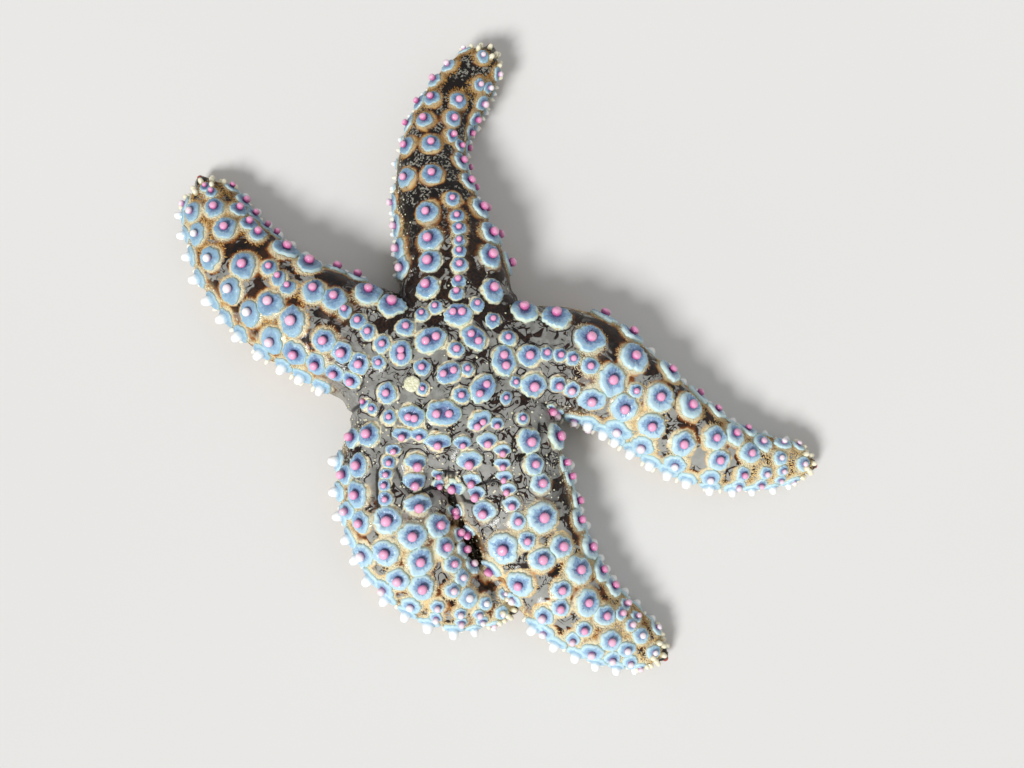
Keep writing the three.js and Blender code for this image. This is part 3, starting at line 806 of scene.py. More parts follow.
def lean_apart(sites):
    """Spine heads that would touch lean away from each other."""
    spots, uprights = of_each(sites, "spot"), of_each(sites, "upright")
    radius, height = of_each(sites, "radius"), of_each(sites, "height")[:, None]
    lean = np.zeros_like(spots)
    for _ in range(8):
        heads = spots + unit(uprights + lean) * height
        apart = heads[:, None] - heads[None]
        gap = np.linalg.norm(apart, axis=2)
        np.fill_diagonal(gap, FAR)
        touch = np.clip(radius[:, None] + radius[None] + HEAD_GAP - gap, 0, None)
        lean = lean + 0.4 * (apart / gap[..., None] * touch[..., None]).sum(1)
    for site, way in zip(sites, lean):
        site.lean = way


# ---- Geometry Nodes ------------------------------------------------------------------------------


def plug(tree, socket, value):
    if isinstance(value, bpy.types.NodeSocket):
        tree.links.new(value, socket)
    elif value is not None:
        socket.default_value = value


class Nodes:
    """Short steps for building a node tree. Each step gives back an output socket."""

    def __init__(self, tree):
        self.tree = tree

    def add(self, kind, settings, inputs, out=0):
        node = self.tree.nodes.new(kind)
        for key, value in settings.items():
            setattr(node, key, value)
        for key, value in inputs.items():
            plug(self.tree, node.inputs[key], value)
        return node.outputs[out]

    def math(self, operation, a, b=None, c=None):
        return self.add("ShaderNodeMath", {"operation": operation}, {0: a, 1: b, 2: c})

    def plus(self, a, b):
        return self.math("ADD", a, b)

    def minus(self, a, b):
        return self.math("SUBTRACT", a, b)

    def times(self, a, b, plus=None):
        """a times b, with a third value added if there is one."""
        return self.math("MULTIPLY", a, b) if plus is None else self.math("MULTIPLY_ADD", a, b, plus)

    def vector(self, operation, a, b=None, scale=None, out=0):
        return self.add("ShaderNodeVectorMath", {"operation": operation}, {0: a, 1: b, 3: scale}, out)


class Tree(Nodes):
    """A Geometry Nodes tree with named inputs."""

    def __init__(self, name, inputs):
        super().__init__(bpy.data.node_groups.new(name, "GeometryNodeTree"))
        self.tree.is_modifier = True
        face = self.tree.interface
        face.new_socket("Geometry", in_out="INPUT", socket_type="NodeSocketGeometry")
        for label, kind in inputs.items():
            face.new_socket(label, in_out="INPUT", socket_type="NodeSocket" + kind)
        face.new_socket("Geometry", in_out="OUTPUT", socket_type="NodeSocketGeometry")
        self.input = self.tree.nodes.new("NodeGroupInput").outputs
        self.output = self.tree.nodes.new("NodeGroupOutput")

    def attribute(self, name, kind="FLOAT"):
        return self.add("GeometryNodeInputNamedAttribute", {"data_type": kind}, {"Name": name})

    def random(self, kind, low, high, seed):
        """A random number or vector for each point."""
        wide = kind == "FLOAT_VECTOR"
        inputs = {0: low, 1: high, "Seed": seed} if wide else {2: low, 3: high, "Seed": seed}
        return self.add("FunctionNodeRandomValue", {"data_type": kind}, inputs, 0 if wide else 1)

    def shape(self, socket_name="Template"):
        return self.add("GeometryNodeObjectInfo", {"transform_space": "ORIGINAL"},
                        {"Object": self.input[socket_name]}, "Geometry")

    def facing(self, upright, ahead):
        return self.add("FunctionNodeAxesToRotation", {"primary_axis": "Z", "secondary_axis": "X"},
                        {"Primary Axis": upright, "Secondary Axis": ahead})

    def copies(self):
        """A real copy of the template at each place, turned and sized by the place's attributes."""
        upright, ahead, size = (self.attribute(n, "FLOAT_VECTOR") for n in ("upright", "ahead", "size"))
        instances = self.add("GeometryNodeInstanceOnPoints", {}, {
            "Points": self.input["Geometry"], "Instance": self.shape(),
            "Rotation": self.facing(upright, ahead), "Scale": size,
        })
        return self.add("GeometryNodeRealizeInstances", {}, {"Geometry": instances})

    def finish(self, geometry):
        inputs = {"Geometry": geometry, "Material": self.input["Finish"]}
        made = self.add("GeometryNodeSetMaterial", {}, inputs)
        self.tree.links.new(made, self.output.inputs["Geometry"])
        return self.tree


def standing_tree():
    """Stands a copy of the template at each place."""
    t = Tree("Stand at places", {"Template": "Object", "Finish": "Material"})
    return t.finish(t.copies())


def clinging_tree():
    """Lays a copy of the template at each place, gives each its own wavy rim, and drapes it on the skin."""
    t = Tree("Cling to skin", {
        "Template": "Object", "Finish": "Material", "Skin": "Object",
        "Wave": "Float", "Wave Size": "Float", "Scallop": "Float", "Scallop Size": "Float",
        "Crumple": "Float",
    })
    real = t.copies()
    here = t.add("GeometryNodeInputPosition", {}, {})
    out = t.vector("SUBTRACT", here, t.attribute("middle", "FLOAT_VECTOR"))
    way = t.vector("NORMALIZE", out)
    key = t.add("ShaderNodeCombineXYZ", {}, {0: t.attribute("key"), 1: t.attribute("key")})
    key = t.vector("SCALE", key, scale=31.0)

    def round_noise(size):
        """Noise that depends only on the way outward, different for each copy."""
        place = t.vector("ADD", t.vector("SCALE", way, scale=t.input[size]), key)
        found = t.add("ShaderNodeTexNoise", {}, {"Vector": place, "Scale": 1.0, "Detail": 1.0})
        return t.minus(found, 0.5)

    scallop = round_noise("Scallop Size")
    wave = t.times(round_noise("Wave Size"), t.input["Wave"])
    stretch = t.plus(wave, t.times(scallop, t.input["Scallop"]))
    moved = t.vector("ADD", here, t.vector("SCALE", out, scale=stretch))
    waved = t.add("GeometryNodeSetPosition", {}, {"Geometry": real, "Position": moved})

    skin = t.shape("Skin")
    near = t.add("GeometryNodeProximity", {"target_element": "FACES"}, {0: skin}, "Position")
    normal = t.add("GeometryNodeSampleNearestSurface", {"data_type": "FLOAT_VECTOR"}, {
        "Mesh": skin, "Value": t.add("GeometryNodeInputNormal", {}, {}),
    })
    crumple = t.add("ShaderNodeTexNoise", {}, {"Vector": here, "Scale": 1100.0, "Detail": 2.0})
    rough = t.plus(t.minus(crumple, 0.5), t.times(scallop, 1.2))
    swell = t.plus(t.times(rough, t.input["Crumple"]), 1.0)
    rise = t.times(t.times(t.attribute("lift"), t.attribute("thick")), swell)
    draped = t.vector("ADD", near, t.vector("SCALE", normal, scale=rise))
    return t.finish(t.add("GeometryNodeSetPosition", {}, {"Geometry": waved, "Position": draped}))


def scattering_tree():
    """Strews small copies of the template over the skin where a mask says, pointing along an attribute."""
    t = Tree("Strew over skin", {
        "Template": "Object", "Finish": "Material", "Mask": "String", "Ahead": "String",
        "Density": "Float", "Smallest": "Float", "Largest": "Float", "Seed": "Int",
    })
    seed = t.input["Seed"]
    density = t.times(t.attribute(t.input["Mask"]), t.input["Density"])
    points = t.add("GeometryNodeDistributePointsOnFaces", {}, {
        "Mesh": t.input["Geometry"], "Density": density, "Seed": seed,
    }, "Points")
    turn = t.random("FLOAT_VECTOR", (-0.5, -0.5, -0.25), (0.5, 0.5, 0.25), seed)
    ahead = t.vector("ADD", t.attribute(t.input["Ahead"], "FLOAT_VECTOR"), turn)
    strewn = t.add("GeometryNodeInstanceOnPoints", {}, {
        "Points": points, "Instance": t.shape(),
        "Rotation": t.facing(points.node.outputs["Normal"], ahead),
        "Scale": t.random("FLOAT", t.input["Smallest"], t.input["Largest"], seed),
    })
    marked = t.add("GeometryNodeStoreNamedAttribute", {"data_type": "FLOAT", "domain": "INSTANCE"}, {
        "Geometry": strewn, "Name": "tint", "Value": t.random("FLOAT", 0.0, 1.0, t.plus(seed, 1.0)),
    })
    return t.finish(t.add("GeometryNodeRealizeInstances", {}, {"Geometry": marked}))


def grown(name, base, tree, inputs):
    """Runs a tree on a base object and keeps the result as a piece with a plain mesh."""
    modifier = base.modifiers.new("grow", "NODES")
    modifier.node_group = tree
    for item in tree.interface.items_tree:
        if item.in_out == "INPUT" and item.name in inputs:
            modifier[item.identifier] = inputs[item.name]
    piece = placed(name, evaluated_mesh(base, name))
    base.modifiers.remove(modifier)
    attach(piece, "root")
    return piece


def put_attribute(mesh, name, values):
    """Stores one number or vector for each point."""
    values = np.asarray(values, np.float32)
    kind, field = ("FLOAT_VECTOR", "vector") if values.ndim == 2 else ("FLOAT", "value")
    layer = mesh.attributes.new(name, kind, "POINT")
    layer.data.foreach_set(field, values.ravel())


def get_vectors(mesh, name):
    return read(mesh.attributes[name].data, "vector")


def places_object(name, spots, **attributes):
    """A set of bare points that carry the attributes the trees read."""
    mesh = bpy.data.meshes.new(name)
    mesh.from_pydata([tuple(p) for p in to_frame(spots)], [], [])
    for key, values in attributes.items():
        put_attribute(mesh, key, values)
    return placed(name, mesh)


# ---- templates -----------------------------------------------------------------------------------


def turned_template(name, profile, sides):
    """A shape turned about Z through (radius, height) points, closed at both ends."""
    points = [(0, 0, profile[0][1])]
    for radius, height in profile:
        for k in range(sides):
            angle = 2 * math.pi * k / sides
            points.append((radius * math.cos(angle), radius * math.sin(angle), height))
    points.append((0, 0, profile[-1][1]))
    top = len(points) - 1
    last_ring = top - sides
    faces = []
    for k in range(sides):
        n = (k + 1) % sides
        faces.append((0, 1 + n, 1 + k))
        for a in range(1, last_ring, sides):
            b = a + sides
            faces.append((a + k, a + n, b + n, b + k))
        faces.append((last_ring + k, last_ring + n, top))
    mesh = bpy.data.meshes.new(name)
    mesh.from_pydata(points, [], faces)
    shade_smooth(mesh)
    put_attribute(mesh, "local", points)
    put_attribute(mesh, "rise", [point[2] for point in points])
    return placed(name, mesh)


CUSHION_PROFILE = [  # radius share, lift share, from the hidden underside round the rim to the middle
    (0.92, -0.6), (1, -0.05), (0.99, 0.35), (0.92, 0.75), (0.8, 1), (0.64, 0.92), (0.48, 0.62), (0.32, 0.45),
]
CUSHION_SIDES = 40
KNOB_PROFILE = [
    (0.66, -0.35), (0.7, 0.05), (0.84, 0.28), (0.99, 0.52), (0.94, 0.74), (0.7, 0.92), (0.34, 0.99),
]
PEG_PROFILE = [(0.95, -0.35), (1, 0.05), (0.93, 0.4), (0.8, 0.7), (0.56, 0.91), (0.25, 0.99)]
FOOT_PROFILE = [(0.55, -0.2), (0.5, 0.3), (0.46, 0.75), (0.6, 0.86), (1, 0.93), (0.95, 1), (0.4, 0.97)]
BEAD_PROFILE = [(0.6, -0.2), (1, 0.25), (0.7, 0.7)]
FUZZ_PROFILE = [(0.7, -0.3), (1, 0.4)]
SPINE_SIDES = 12
FOOT_SIDES = 8
BEAD_SIDES = 5
FUZZ_SIDES = 3
PLATE_RADIUS = 2.1
PLATE_PROFILE = [  # shares of its radius
    (0.9, -0.4), (1, 0.1), (1, 0.8), (0.94, 1.1), (0.86, 1.22), (0.78, 1.27), (0.7, 1.3), (0.62, 1.32),
    (0.54, 1.33), (0.46, 1.34), (0.38, 1.35), (0.3, 1.35), (0.22, 1.35), (0.14, 1.35), (0.06, 1.35),
]
LIP_PROFILE = [
    (0.3, 1.8), (0.7, 1.3), (1.2, 0.6), (1.7, 0.15), (2.2, 0.1), (2.6, 0.5), (2.75, 1.4), (2.4, 2.2),
    (1.5, 2.4),
]
EYE_PROFILE = [(0.8, -0.5), (0.9, 0), (0.8, 0.45), (0.5, 0.75), (0.2, 0.85)]


def cushion_template():
    """A flat round pad whose height is kept apart, as an attribute, until it is draped."""
    template = turned_template("cushion_template", CUSHION_PROFILE, CUSHION_SIDES)
    local = get_vectors(template.data, "local")
    put_attribute(template.data, "lift", local[:, 2])
    set_places(template.data, local * (1, 1, 0))
    return template


# ---- finishes ------------------------------------------------------------------------------------


class Finish(Nodes):
    """A material on a Principled shader."""

    def __init__(self, name, roughness=0.4, coat=0.0, coat_roughness=0.1, specular=0.5):
        self.material = bpy.data.materials.new(name)
        self.material.use_nodes = True
        super().__init__(self.material.node_tree)
        self.shader = self.tree.nodes["Principled BSDF"]
        for label, value in {
            "Roughness": roughness, "Coat Weight": coat, "Coat Roughness": coat_roughness,
            "Specular IOR Level": specular,
        }.items():
            self.shader.inputs[label].default_value = value
        self.place = self.add("ShaderNodeTexCoord", {}, {}, "Object")

    def attribute(self, name, out="Fac"):
        return self.add("ShaderNodeAttribute", {"attribute_name": name}, {}, out)

    def noise(self, scale, detail=2.0, distortion=0.0, vector=None):
        return self.add("ShaderNodeTexNoise", {}, {
            "Vector": vector or self.place, "Scale": scale, "Detail": detail, "Distortion": distortion,
        })

    def step(self, value, low, high, start=0.0, end=1.0):
        """Runs smoothly from start to end as the value goes from low to high."""
        return self.add("ShaderNodeMapRange", {"interpolation_type": "SMOOTHSTEP"}, {
            "Value": value, "From Min": low, "From Max": high, "To Min": start, "To Max": end,
        })

    def fade(self, value, low, high):
        return self.step(value, low, high, 1.0, 0.0)

    def mix(self, share, a, b, most=None):
        """Colour a, with b over it by a share, or by that much of the share."""
        share = share if most is None else self.times(share, most)
        return self.add("ShaderNodeMix", {"data_type": "RGBA"}, {0: share, 6: a, 7: b}, 2)

    def bump(self, height, distance, strength):
        return self.add("ShaderNodeBump", {}, {
            "Height": height, "Distance": distance, "Strength": strength,
        })

    def wear(self, **inputs):
        """Links colours and numbers to the shader's sockets."""
        for label, value in inputs.items():
            plug(self.tree, self.shader.inputs[label.replace("_", " ")], value)
        return self.material


GREY = shade(148, 148, 144)
GREY_DARK = shade(127, 126, 121)
GREY_PALE = shade(164, 164, 158)
BLACK = shade(14, 10, 9)
BROWN = shade(50, 29, 17)
OCHRE_PALE = shade(234, 212, 158)
CREAM = shade(232, 226, 196)
TAN = shade(206, 172, 122)


def fringe_colour(f, grain):
    """Cream beside a cushion's rim, then ochre, browner outward and on the dark arm; the ochre is paler
    under painted light and browner in painted shade.
    """
    halo, bright, dusk = f.attribute("halo"), f.attribute("bright"), f.attribute("dusk")
    ochre = f.mix(grain, shade(188, 134, 66), shade(226, 186, 114))
    # painted light: paler ochre and rust on the arms at the lower right
    ochre = f.mix(bright, ochre, shade(248, 216, 156), 0.75)
    rust = f.mix(bright, shade(128, 74, 28), shade(204, 136, 62), 0.7)
    rusty = f.times(bright, -0.03, f.noise(240, 2))
    ochre = f.mix(f.step(rusty, 0.5, 0.62, 0.0, 0.8), ochre, rust)
    # browner where the skin is darker and in painted shade
    ochre = f.mix(dusk, ochre, shade(140, 102, 42), 0.5)
    near = f.times(f.step(halo, 0.2, 1.2, 0.85, 0.0), f.times(dusk, -0.6, 1.0))
    return f.mix(near, ochre, CREAM)


def ground_colour(f, middle, fine):
    """Grey with black lines that run like contours and swell into blots, and how black it is. The grey is
    paler under painted light, and lines and blots spread where the skin is darker and in painted shade.
    """
    halo, dusk, bright = f.attribute("halo"), f.attribute("dusk"), f.attribute("bright")
    disc = f.minus(1.0, f.attribute("tone"))
    contour = f.math("ABSOLUTE", f.minus(f.noise(270, 1.3, 1.7), 0.5))
    width = f.step(f.plus(f.noise(85, 2), f.times(dusk, 0.14)), 0.42, 0.72, 0.018, 0.08)
    lines = f.fade(f.math("DIVIDE", contour, width), 0.7, 1.0)
    lines = f.times(lines, f.step(f.times(dusk, 0.07, f.noise(170, 2, 0.6)), 0.45, 0.51))
    ring = f.math("ABSOLUTE", f.minus(f.plus(halo, middle), 1.4))
    rings = f.times(f.fade(ring, 0.1, 0.2), f.step(f.noise(230, 1), 0.46, 0.52))
    blots = f.times(disc, -0.05, f.times(dusk, 0.19, f.noise(130, 3, 1.4)))
    black = f.math("MAXIMUM", lines, f.step(blots, 0.6, 0.63))
    black = f.math("MAXIMUM", black, f.times(rings, disc))
    grey = f.mix(f.step(middle, 0.36, 0.62), GREY_DARK, GREY)
    grey = f.mix(f.step(fine, 0.56, 0.7), grey, GREY_PALE, 0.3)
    # painted light: the grey is paler on the arms at the lower right
    grey = f.mix(bright, grey, shade(174, 174, 168), 0.45)
    return f.mix(black, grey, f.mix(f.step(fine, 0.4, 0.65), BLACK, BROWN)), black


def skin_finish():
    f = Finish("wet skin", roughness=0.45, coat=0.22, coat_roughness=0.06, specular=0.08)
    tone = f.attribute("tone")
    middle, fine = f.noise(420, 3), f.noise(1500, 3)
    colour, black = ground_colour(f, middle, fine)

    # dark brown patches between the cushions of the arms, fewer under painted light and more in painted
    # shade, ochre fringes, cream rims on the disc
    reach = f.plus(f.attribute("halo"), f.times(f.noise(520, 2), 1.6, -0.8))
    reach = f.plus(reach, f.times(f.noise(170, 1), 2.0, -1.0))
    brown_patch_and_shade = f.times(f.attribute("bright"), -0.07, f.noise(150, 2, 0.9))
    brown_patch_and_shade = f.times(f.attribute("dusk"), 0.05, brown_patch_and_shade)
    brown_patch_and_shade = f.times(f.step(reach, 0.6, 1.0), f.step(brown_patch_and_shade, 0.46, 0.5))
    earth = f.mix(f.step(middle, 0.4, 0.62), BLACK, BROWN)
    earth = f.mix(f.step(reach, 0.8, 1.7), shade(142, 80, 34), earth)
    colour = f.mix(brown_patch_and_shade, colour, earth, tone)
    ochre = fringe_colour(f, f.step(middle, 0.36, 0.64))
    colour = f.mix(f.fade(reach, 0.5, 1.1), colour, ochre, tone)
    rim = f.mix(f.step(fine, 0.32, 0.52), TAN, CREAM)
    colour = f.mix(f.fade(reach, 0.0, 0.5), colour, rim, f.minus(1.0, tone))

    # the strip along the margins, the dark grainy back of one arm, the underside, and painted shade in the
    # creases and the opening
    strip = f.mix(f.step(middle, 0.4, 0.6), shade(168, 108, 52), OCHRE_PALE)
    strip = f.mix(f.step(f.noise(210, 2), 0.55, 0.64), strip, BROWN, 0.8)
    colour = f.mix(f.attribute("strip"), colour, strip, 0.9)
    grains = f.mix(f.step(fine, 0.5, 0.58), BLACK, shade(150, 148, 136))
    grains = f.mix(f.step(f.noise(260, 2), 0.44, 0.54), BLACK, grains)
    colour = f.mix(f.attribute("grain"), colour, grains, f.step(reach, 0.7, 1.3))
    sole = f.mix(f.step(middle, 0.4, 0.6), TAN, OCHRE_PALE)
    colour = f.mix(f.attribute("under"), colour, sole)
    # painted shade: black in the creases, where arms meet and in the opening
    colour = f.mix(f.step(f.attribute("fold"), 0.55, 0.9, 0.0, 0.9), colour, BLACK)

    relief = f.minus(f.times(fine, 0.25), f.times(black, 0.5))
    relief = f.times(middle, 0.5, relief)
    return f.wear(Base_Color=colour, Normal=f.bump(relief, 0.0003, 0.9))


RIM_BLUE = shade(206, 230, 230)
SKY_BLUE = shade(162, 198, 220)
MID_BLUE = shade(116, 148, 184)
DEEP_BLUE = shade(90, 104, 148)


def cushion_finish():
    """Rings of blue from a pale rim to a deep blue ring round the spine, which lies fuller on one side as
    the spine's painted shadow; all paler under painted light.
    """
    f = Finish("blue cushion", roughness=0.45, coat=0.2, coat_roughness=0.08, specular=0.2)
    bright, key = f.attribute("bright"), f.attribute("key")
    local = f.vector("MULTIPLY", f.attribute("local", "Vector"), (1, 1, 0))
    off_moat = f.vector("SUBTRACT", local, f.attribute("moat", "Vector"))
    inner, outer = (f.vector("LENGTH", v, out="Value") for v in (off_moat, local))

    # the rings are uneven, and dark streaks, painted shade in creases, run outward from the deep ring
    spin = f.add("ShaderNodeCombineXYZ", {}, {0: f.times(key, 53.0), 1: key})
    way = f.vector("SCALE", f.vector("NORMALIZE", local), scale=3.4)
    streaks = f.noise(1.0, 2, vector=f.vector("ADD", way, spin))
    wobble = f.plus(f.times(f.noise(520, 2), 0.3, -0.15), f.times(streaks, 0.55, -0.275))
    near = f.plus(inner, wobble)
    # painted light widens the pale rims on the arms at the lower right
    edge = f.times(bright, 0.07, f.times(wobble, 0.35, outer))
    flecks = f.noise(1500, 2)

    colour = f.mix(f.step(f.noise(330, 2), 0.38, 0.62), SKY_BLUE, shade(136, 174, 206))
    # painted light: paler blues on the arms at the lower right
    colour = f.mix(bright, colour, shade(192, 222, 234), 0.85)
    ring = f.mix(bright, MID_BLUE, shade(142, 178, 208), 0.8)
    colour = f.mix(f.fade(near, 0.56, 0.68), colour, ring)
    deep = f.mix(bright, DEEP_BLUE, shade(122, 148, 184), 0.6)
    colour = f.mix(f.fade(near, 0.32, 0.46), colour, deep)
    crease_shade_streaks = f.times(f.step(streaks, 0.58, 0.64), f.step(near, 0.45, 0.85, 0.7, 0.0))
    colour = f.mix(crease_shade_streaks, colour, shade(62, 80, 122))
    specks = f.times(f.step(flecks, 0.6, 0.66), f.step(near, 0.3, 0.9, 0.6, 0.0))
    colour = f.mix(specks, colour, shade(54, 70, 110))
    rim = f.mix(f.attribute("tone"), shade(216, 232, 212), RIM_BLUE)
    colour = f.mix(f.step(edge, 0.8, 0.92), colour, rim)
    colour = f.mix(f.fade(flecks, 0.3, 0.42), colour, RIM_BLUE, 0.35)
    # paler cushions under the white spines: their own colour on the margins and tips, painted glare on
    # flanks turned to the lower left
    colour = f.mix(f.attribute("pale"), colour, shade(178, 218, 236), 0.42)
    # painted shade: the cushions on the arms at the upper left are dulled
    colour = f.mix(f.attribute("dim"), colour, shade(84, 108, 122), 0.26)
    relief = f.plus(f.times(flecks, -0.5), f.times(f.noise(800, 2), 0.8))
    return f.wear(Base_Color=colour, Normal=f.bump(relief, 0.0002, 0.8))


def climb_of(f, mottle):
    """Height up a spine, made uneven so that its colours do not meet in a clean line."""
    return f.plus(f.attribute("rise"), f.times(mottle, 0.3, -0.15))


def knob_finish():
    """Pink spine heads, redder round the neck and darker there as painted shade where they meet the cushion,
    and paler at the crown as a painted highlight; those of the flanks are nearly white, partly their own
    colour and partly painted glare.
    """
    f = Finish("pink spine", roughness=0.36, coat=0.3, coat_roughness=0.07, specular=0.3)
    mottle = f.noise(1300, 2)
    climb = climb_of(f, mottle)
    # painted shade round the neck and a painted highlight at the crown
    colour = f.mix(f.step(climb, 0.15, 0.5), shade(120, 62, 104), shade(206, 108, 160))
    colour = f.mix(f.step(climb, 0.5, 0.95), colour, shade(242, 172, 206))
    white = f.mix(f.step(climb, 0.2, 0.75), shade(206, 140, 186), shade(253, 246, 248))
    colour = f.mix(f.attribute("pale"), colour, white)
    return f.wear(Base_Color=colour, Normal=f.bump(mottle, 0.00015, 0.6))


def peg_finish():
    """White spines of the margins, faintly bluish at the foot; some are cream."""
    f = Finish("white spine", roughness=0.32, coat=0.4, coat_roughness=0.1)
    mottle, cream = f.noise(1200, 2), f.attribute("cream")
    body = f.mix(cream, shade(252, 252, 250), shade(240, 234, 206))
    foot = f.mix(cream, shade(176, 206, 222), shade(190, 178, 136))
    colour = f.mix(f.step(climb_of(f, mottle), 0.0, 0.5), foot, body)
    return f.wear(Base_Color=colour, Normal=f.bump(mottle, 0.00015, 0.6))


def fuzz_finish():
    """Granules of the fringes, each its own shade, cream where they reach the disc."""
    f = Finish("ochre granule", roughness=0.6, specular=0.2)
    tint = f.attribute("tint")
    cream = f.mix(tint, shade(214, 204, 160), shade(244, 240, 218))
    return f.wear(Base_Color=f.mix(f.attribute("tone"), cream, fringe_colour(f, tint)))


def bead_finish():
    """Cream dots strewn over the disc and along the margins."""
    f = Finish("cream bead", roughness=0.45, coat=0.2)
    colour = f.mix(f.attribute("tint"), shade(204, 198, 164), shade(244, 240, 220))
    colour = f.mix(f.step(f.noise(1600), 0.52, 0.66), colour, shade(190, 180, 142))
    return f.wear(Base_Color=colour)


def plain_finish(name, low, high, scale):
    """Two shades mottled together."""
    f = Finish(name, coat=0.3)
    mottle = f.noise(scale, 3)
    colour = f.mix(f.step(mottle, 0.38, 0.62), low, high)
    return f.wear(Base_Color=colour, Normal=f.bump(mottle, 0.0002, 0.6))


def sieve_finish():
    f = Finish("sieve plate", roughness=0.55, coat=0.15)
    colour = f.mix(f.step(f.noise(1300, 2), 0.4, 0.6), shade(226, 226, 190), shade(246, 245, 218))
    # painted shade: the maze grooves are darker
    colour = f.mix(f.attribute("groove"), colour, shade(178, 174, 138), 0.5)
    return f.wear(Base_Color=colour)


# ---- markings carried by the skin ----------------------------------------------------------------


def cushion_ends(sites):
    """The two ends of each cushion's middle line: alike, but for the pairs."""
    spots = np.array([s.spot + s.drift for s in sites])
    spread = np.array([s.heading * s.spread * 0.6 for s in sites])
    return spots - spread, spots + spread


def halo_of(points, sites):
    """Distance outside the nearest cushion's rim, and the way outward from it."""
    starts, ends = cushion_ends(sites)
    reach = np.array([s.cushion * (1 - 0.18 * s.spread) for s in sites])
    gap = np.full(len(points), FAR)
    outward = np.zeros((len(points), 3))
    for start, end, radius in zip(starts, ends, reach):
        near = np.abs(points - start).max(1) < 12
        away = away_from(points[near], start, end)
        length = np.linalg.norm(away, axis=1) - radius
        closer = length < gap[near]
        places = np.flatnonzero(near)[closer]
        gap[places] = length[closer]
        outward[places] = away[closer]
    return np.minimum(gap, 9), unit(outward)


def painted_light_at(points):
    """How much painted light pales the rims, fringes, cushions and grey skin: most on the arms at the lower
    right.
    """
    return smooth_step(2, 42, points @ np.array([0.55, -0.85, 0]))


def painted_cushion_shade_at(points):
    """How much painted shade dulls the cushions: most on the arms at the upper left."""
    return smooth_step(12, 50, points @ np.array([-0.5, 0.85, 0]))


def on_arm(lay, name):
    """1 where a point belongs to the arm, else 0."""
    return (lay.arm == list(ROUTES).index(name)) * 1.0


def marked_skin(skin, sites, crease, under):
    """Raises the skin a little under each cushion and stores what its finish and the trees read."""
    mesh = skin.data
    points, normals = read_points(mesh), read_normals(mesh)
    halo, outward = halo_of(points, sites)
    mound = np.clip(1 - (np.maximum(halo + 1.5, 0) / 2.8) ** 2, 0, 1) ** 2
    points = points + normals * (MOUND * mound * (1 - under))[:, None]
    write_points(mesh, points)
    lay = Lay(points)
    upper = 1 - under
    north, curled = on_arm(lay, "north"), on_arm(lay, "southwest")
    from_middle = np.hypot(points[:, 0], points[:, 1])
    level = (points[:, 2] - lay.lift) / lay.height

    # the disc's colours give way to those of the arms, sooner on its lower side
    tone = smooth_step(27, 43, from_middle + 6 * bumpiness(points, 8, 3) - 6 * (points[:, 1] < -18))
    near_tip = smooth_step(16, 6, lay.left)
    strip = (1 - smooth_step(0.58, 0.78, level)) * smooth_step(28, 42, from_middle) * upper
    grain = np.maximum(north * smooth_step(34, 52, lay.distance) * 0.9, 0.2 * near_tip * upper)

    # darkest on the straight arm and the disc's upper left, and on the sides turned to the upper right, away
    # from the key light, as painted shade
    disc_dusk = smooth_step(5, 17, points[:, 1]) * (from_middle < 36)
    disc_dusk *= 1 - smooth_step(16, 28, points[:, 0])
    shaded = smooth_step(0.2, 0.6, normals @ np.array([0.6, 0.75, 0])) * upper * (1 - north)
    shaded *= 0.75 * smooth_step(24, 36, from_middle)
    dusk = np.maximum(north * smooth_step(26, 40, lay.distance), np.maximum(disc_dusk, shaded))

    reach = halo + bumpiness(points, 3, 8) + 0.8 * bumpiness(points, 8, 12)
    reach += 0.3 * north + 0.5 * curled - (1 - 0.5 * curled) * smooth_step(30, 12, lay.left)
    band = smooth_step(-0.35, 0.0, halo) * (1 - smooth_step(0.4, 1.1, reach))
    fringe = band * smooth_step(0.15, 0.6, tone) * upper * (1 - crease)
    dots = (1 - tone) * smooth_step(0.5, 1.0, halo) * upper * (1 - crease)

    # a plain unwrap for the grains: along the arm, and across it with the underside apart
    turn = np.where(under > 0.5, 0.8, 0.3)
    turn = turn + 0.25 * np.clip(lay.across / lay.half, -1, 1) * np.where(under > 0.5, 0.6, 1)
    unwrap = [0.02 + 0.96 * lay.distance / LONGEST_ARM, (lay.arm + turn) / len(ROUTES), 0 * turn]
    stored = {
        "halo": halo, "tone": tone, "under": under, "fold": crease, "strip": strip, "grain": grain,
        "dusk": dusk, "outward": outward, "bright": painted_light_at(points),
        "dots": dots * (0.12 + 0.88 * smooth_step(-3, -14, points[:, 1])),
        "strip_grit": strip * (0.35 + 0.65 * near_tip),
        "sole_grit": under * (np.abs(lay.across / lay.half) > GROOVE["width"] + 0.03),
        "unwrap": np.stack(unwrap, 1),
        **{"fringe_" + name: fringe * on_arm(lay, name) for name in ROUTES},
    }
    for name, values in stored.items():
        put_attribute(mesh, name, values)


# ---- pieces --------------------------------------------------------------------------------------


def moat_drift_and_shadow_of(site, ahead, upright):
    """Which way the spine and its deep blue ring lie off the cushion's middle, as shares of its size: the
    spine's own drift, and a shift towards the upper right that is the spine's painted shadow.
    """
    aside = np.cross(upright, ahead)
    # a fixed shift of the deep ring towards the upper right: painted shadow of the spine
    offset = 0.14 * np.array([0.35, 0.94, 0]) - site.drift / site.cushion
    return np.array([offset @ ahead, offset @ aside, 0])


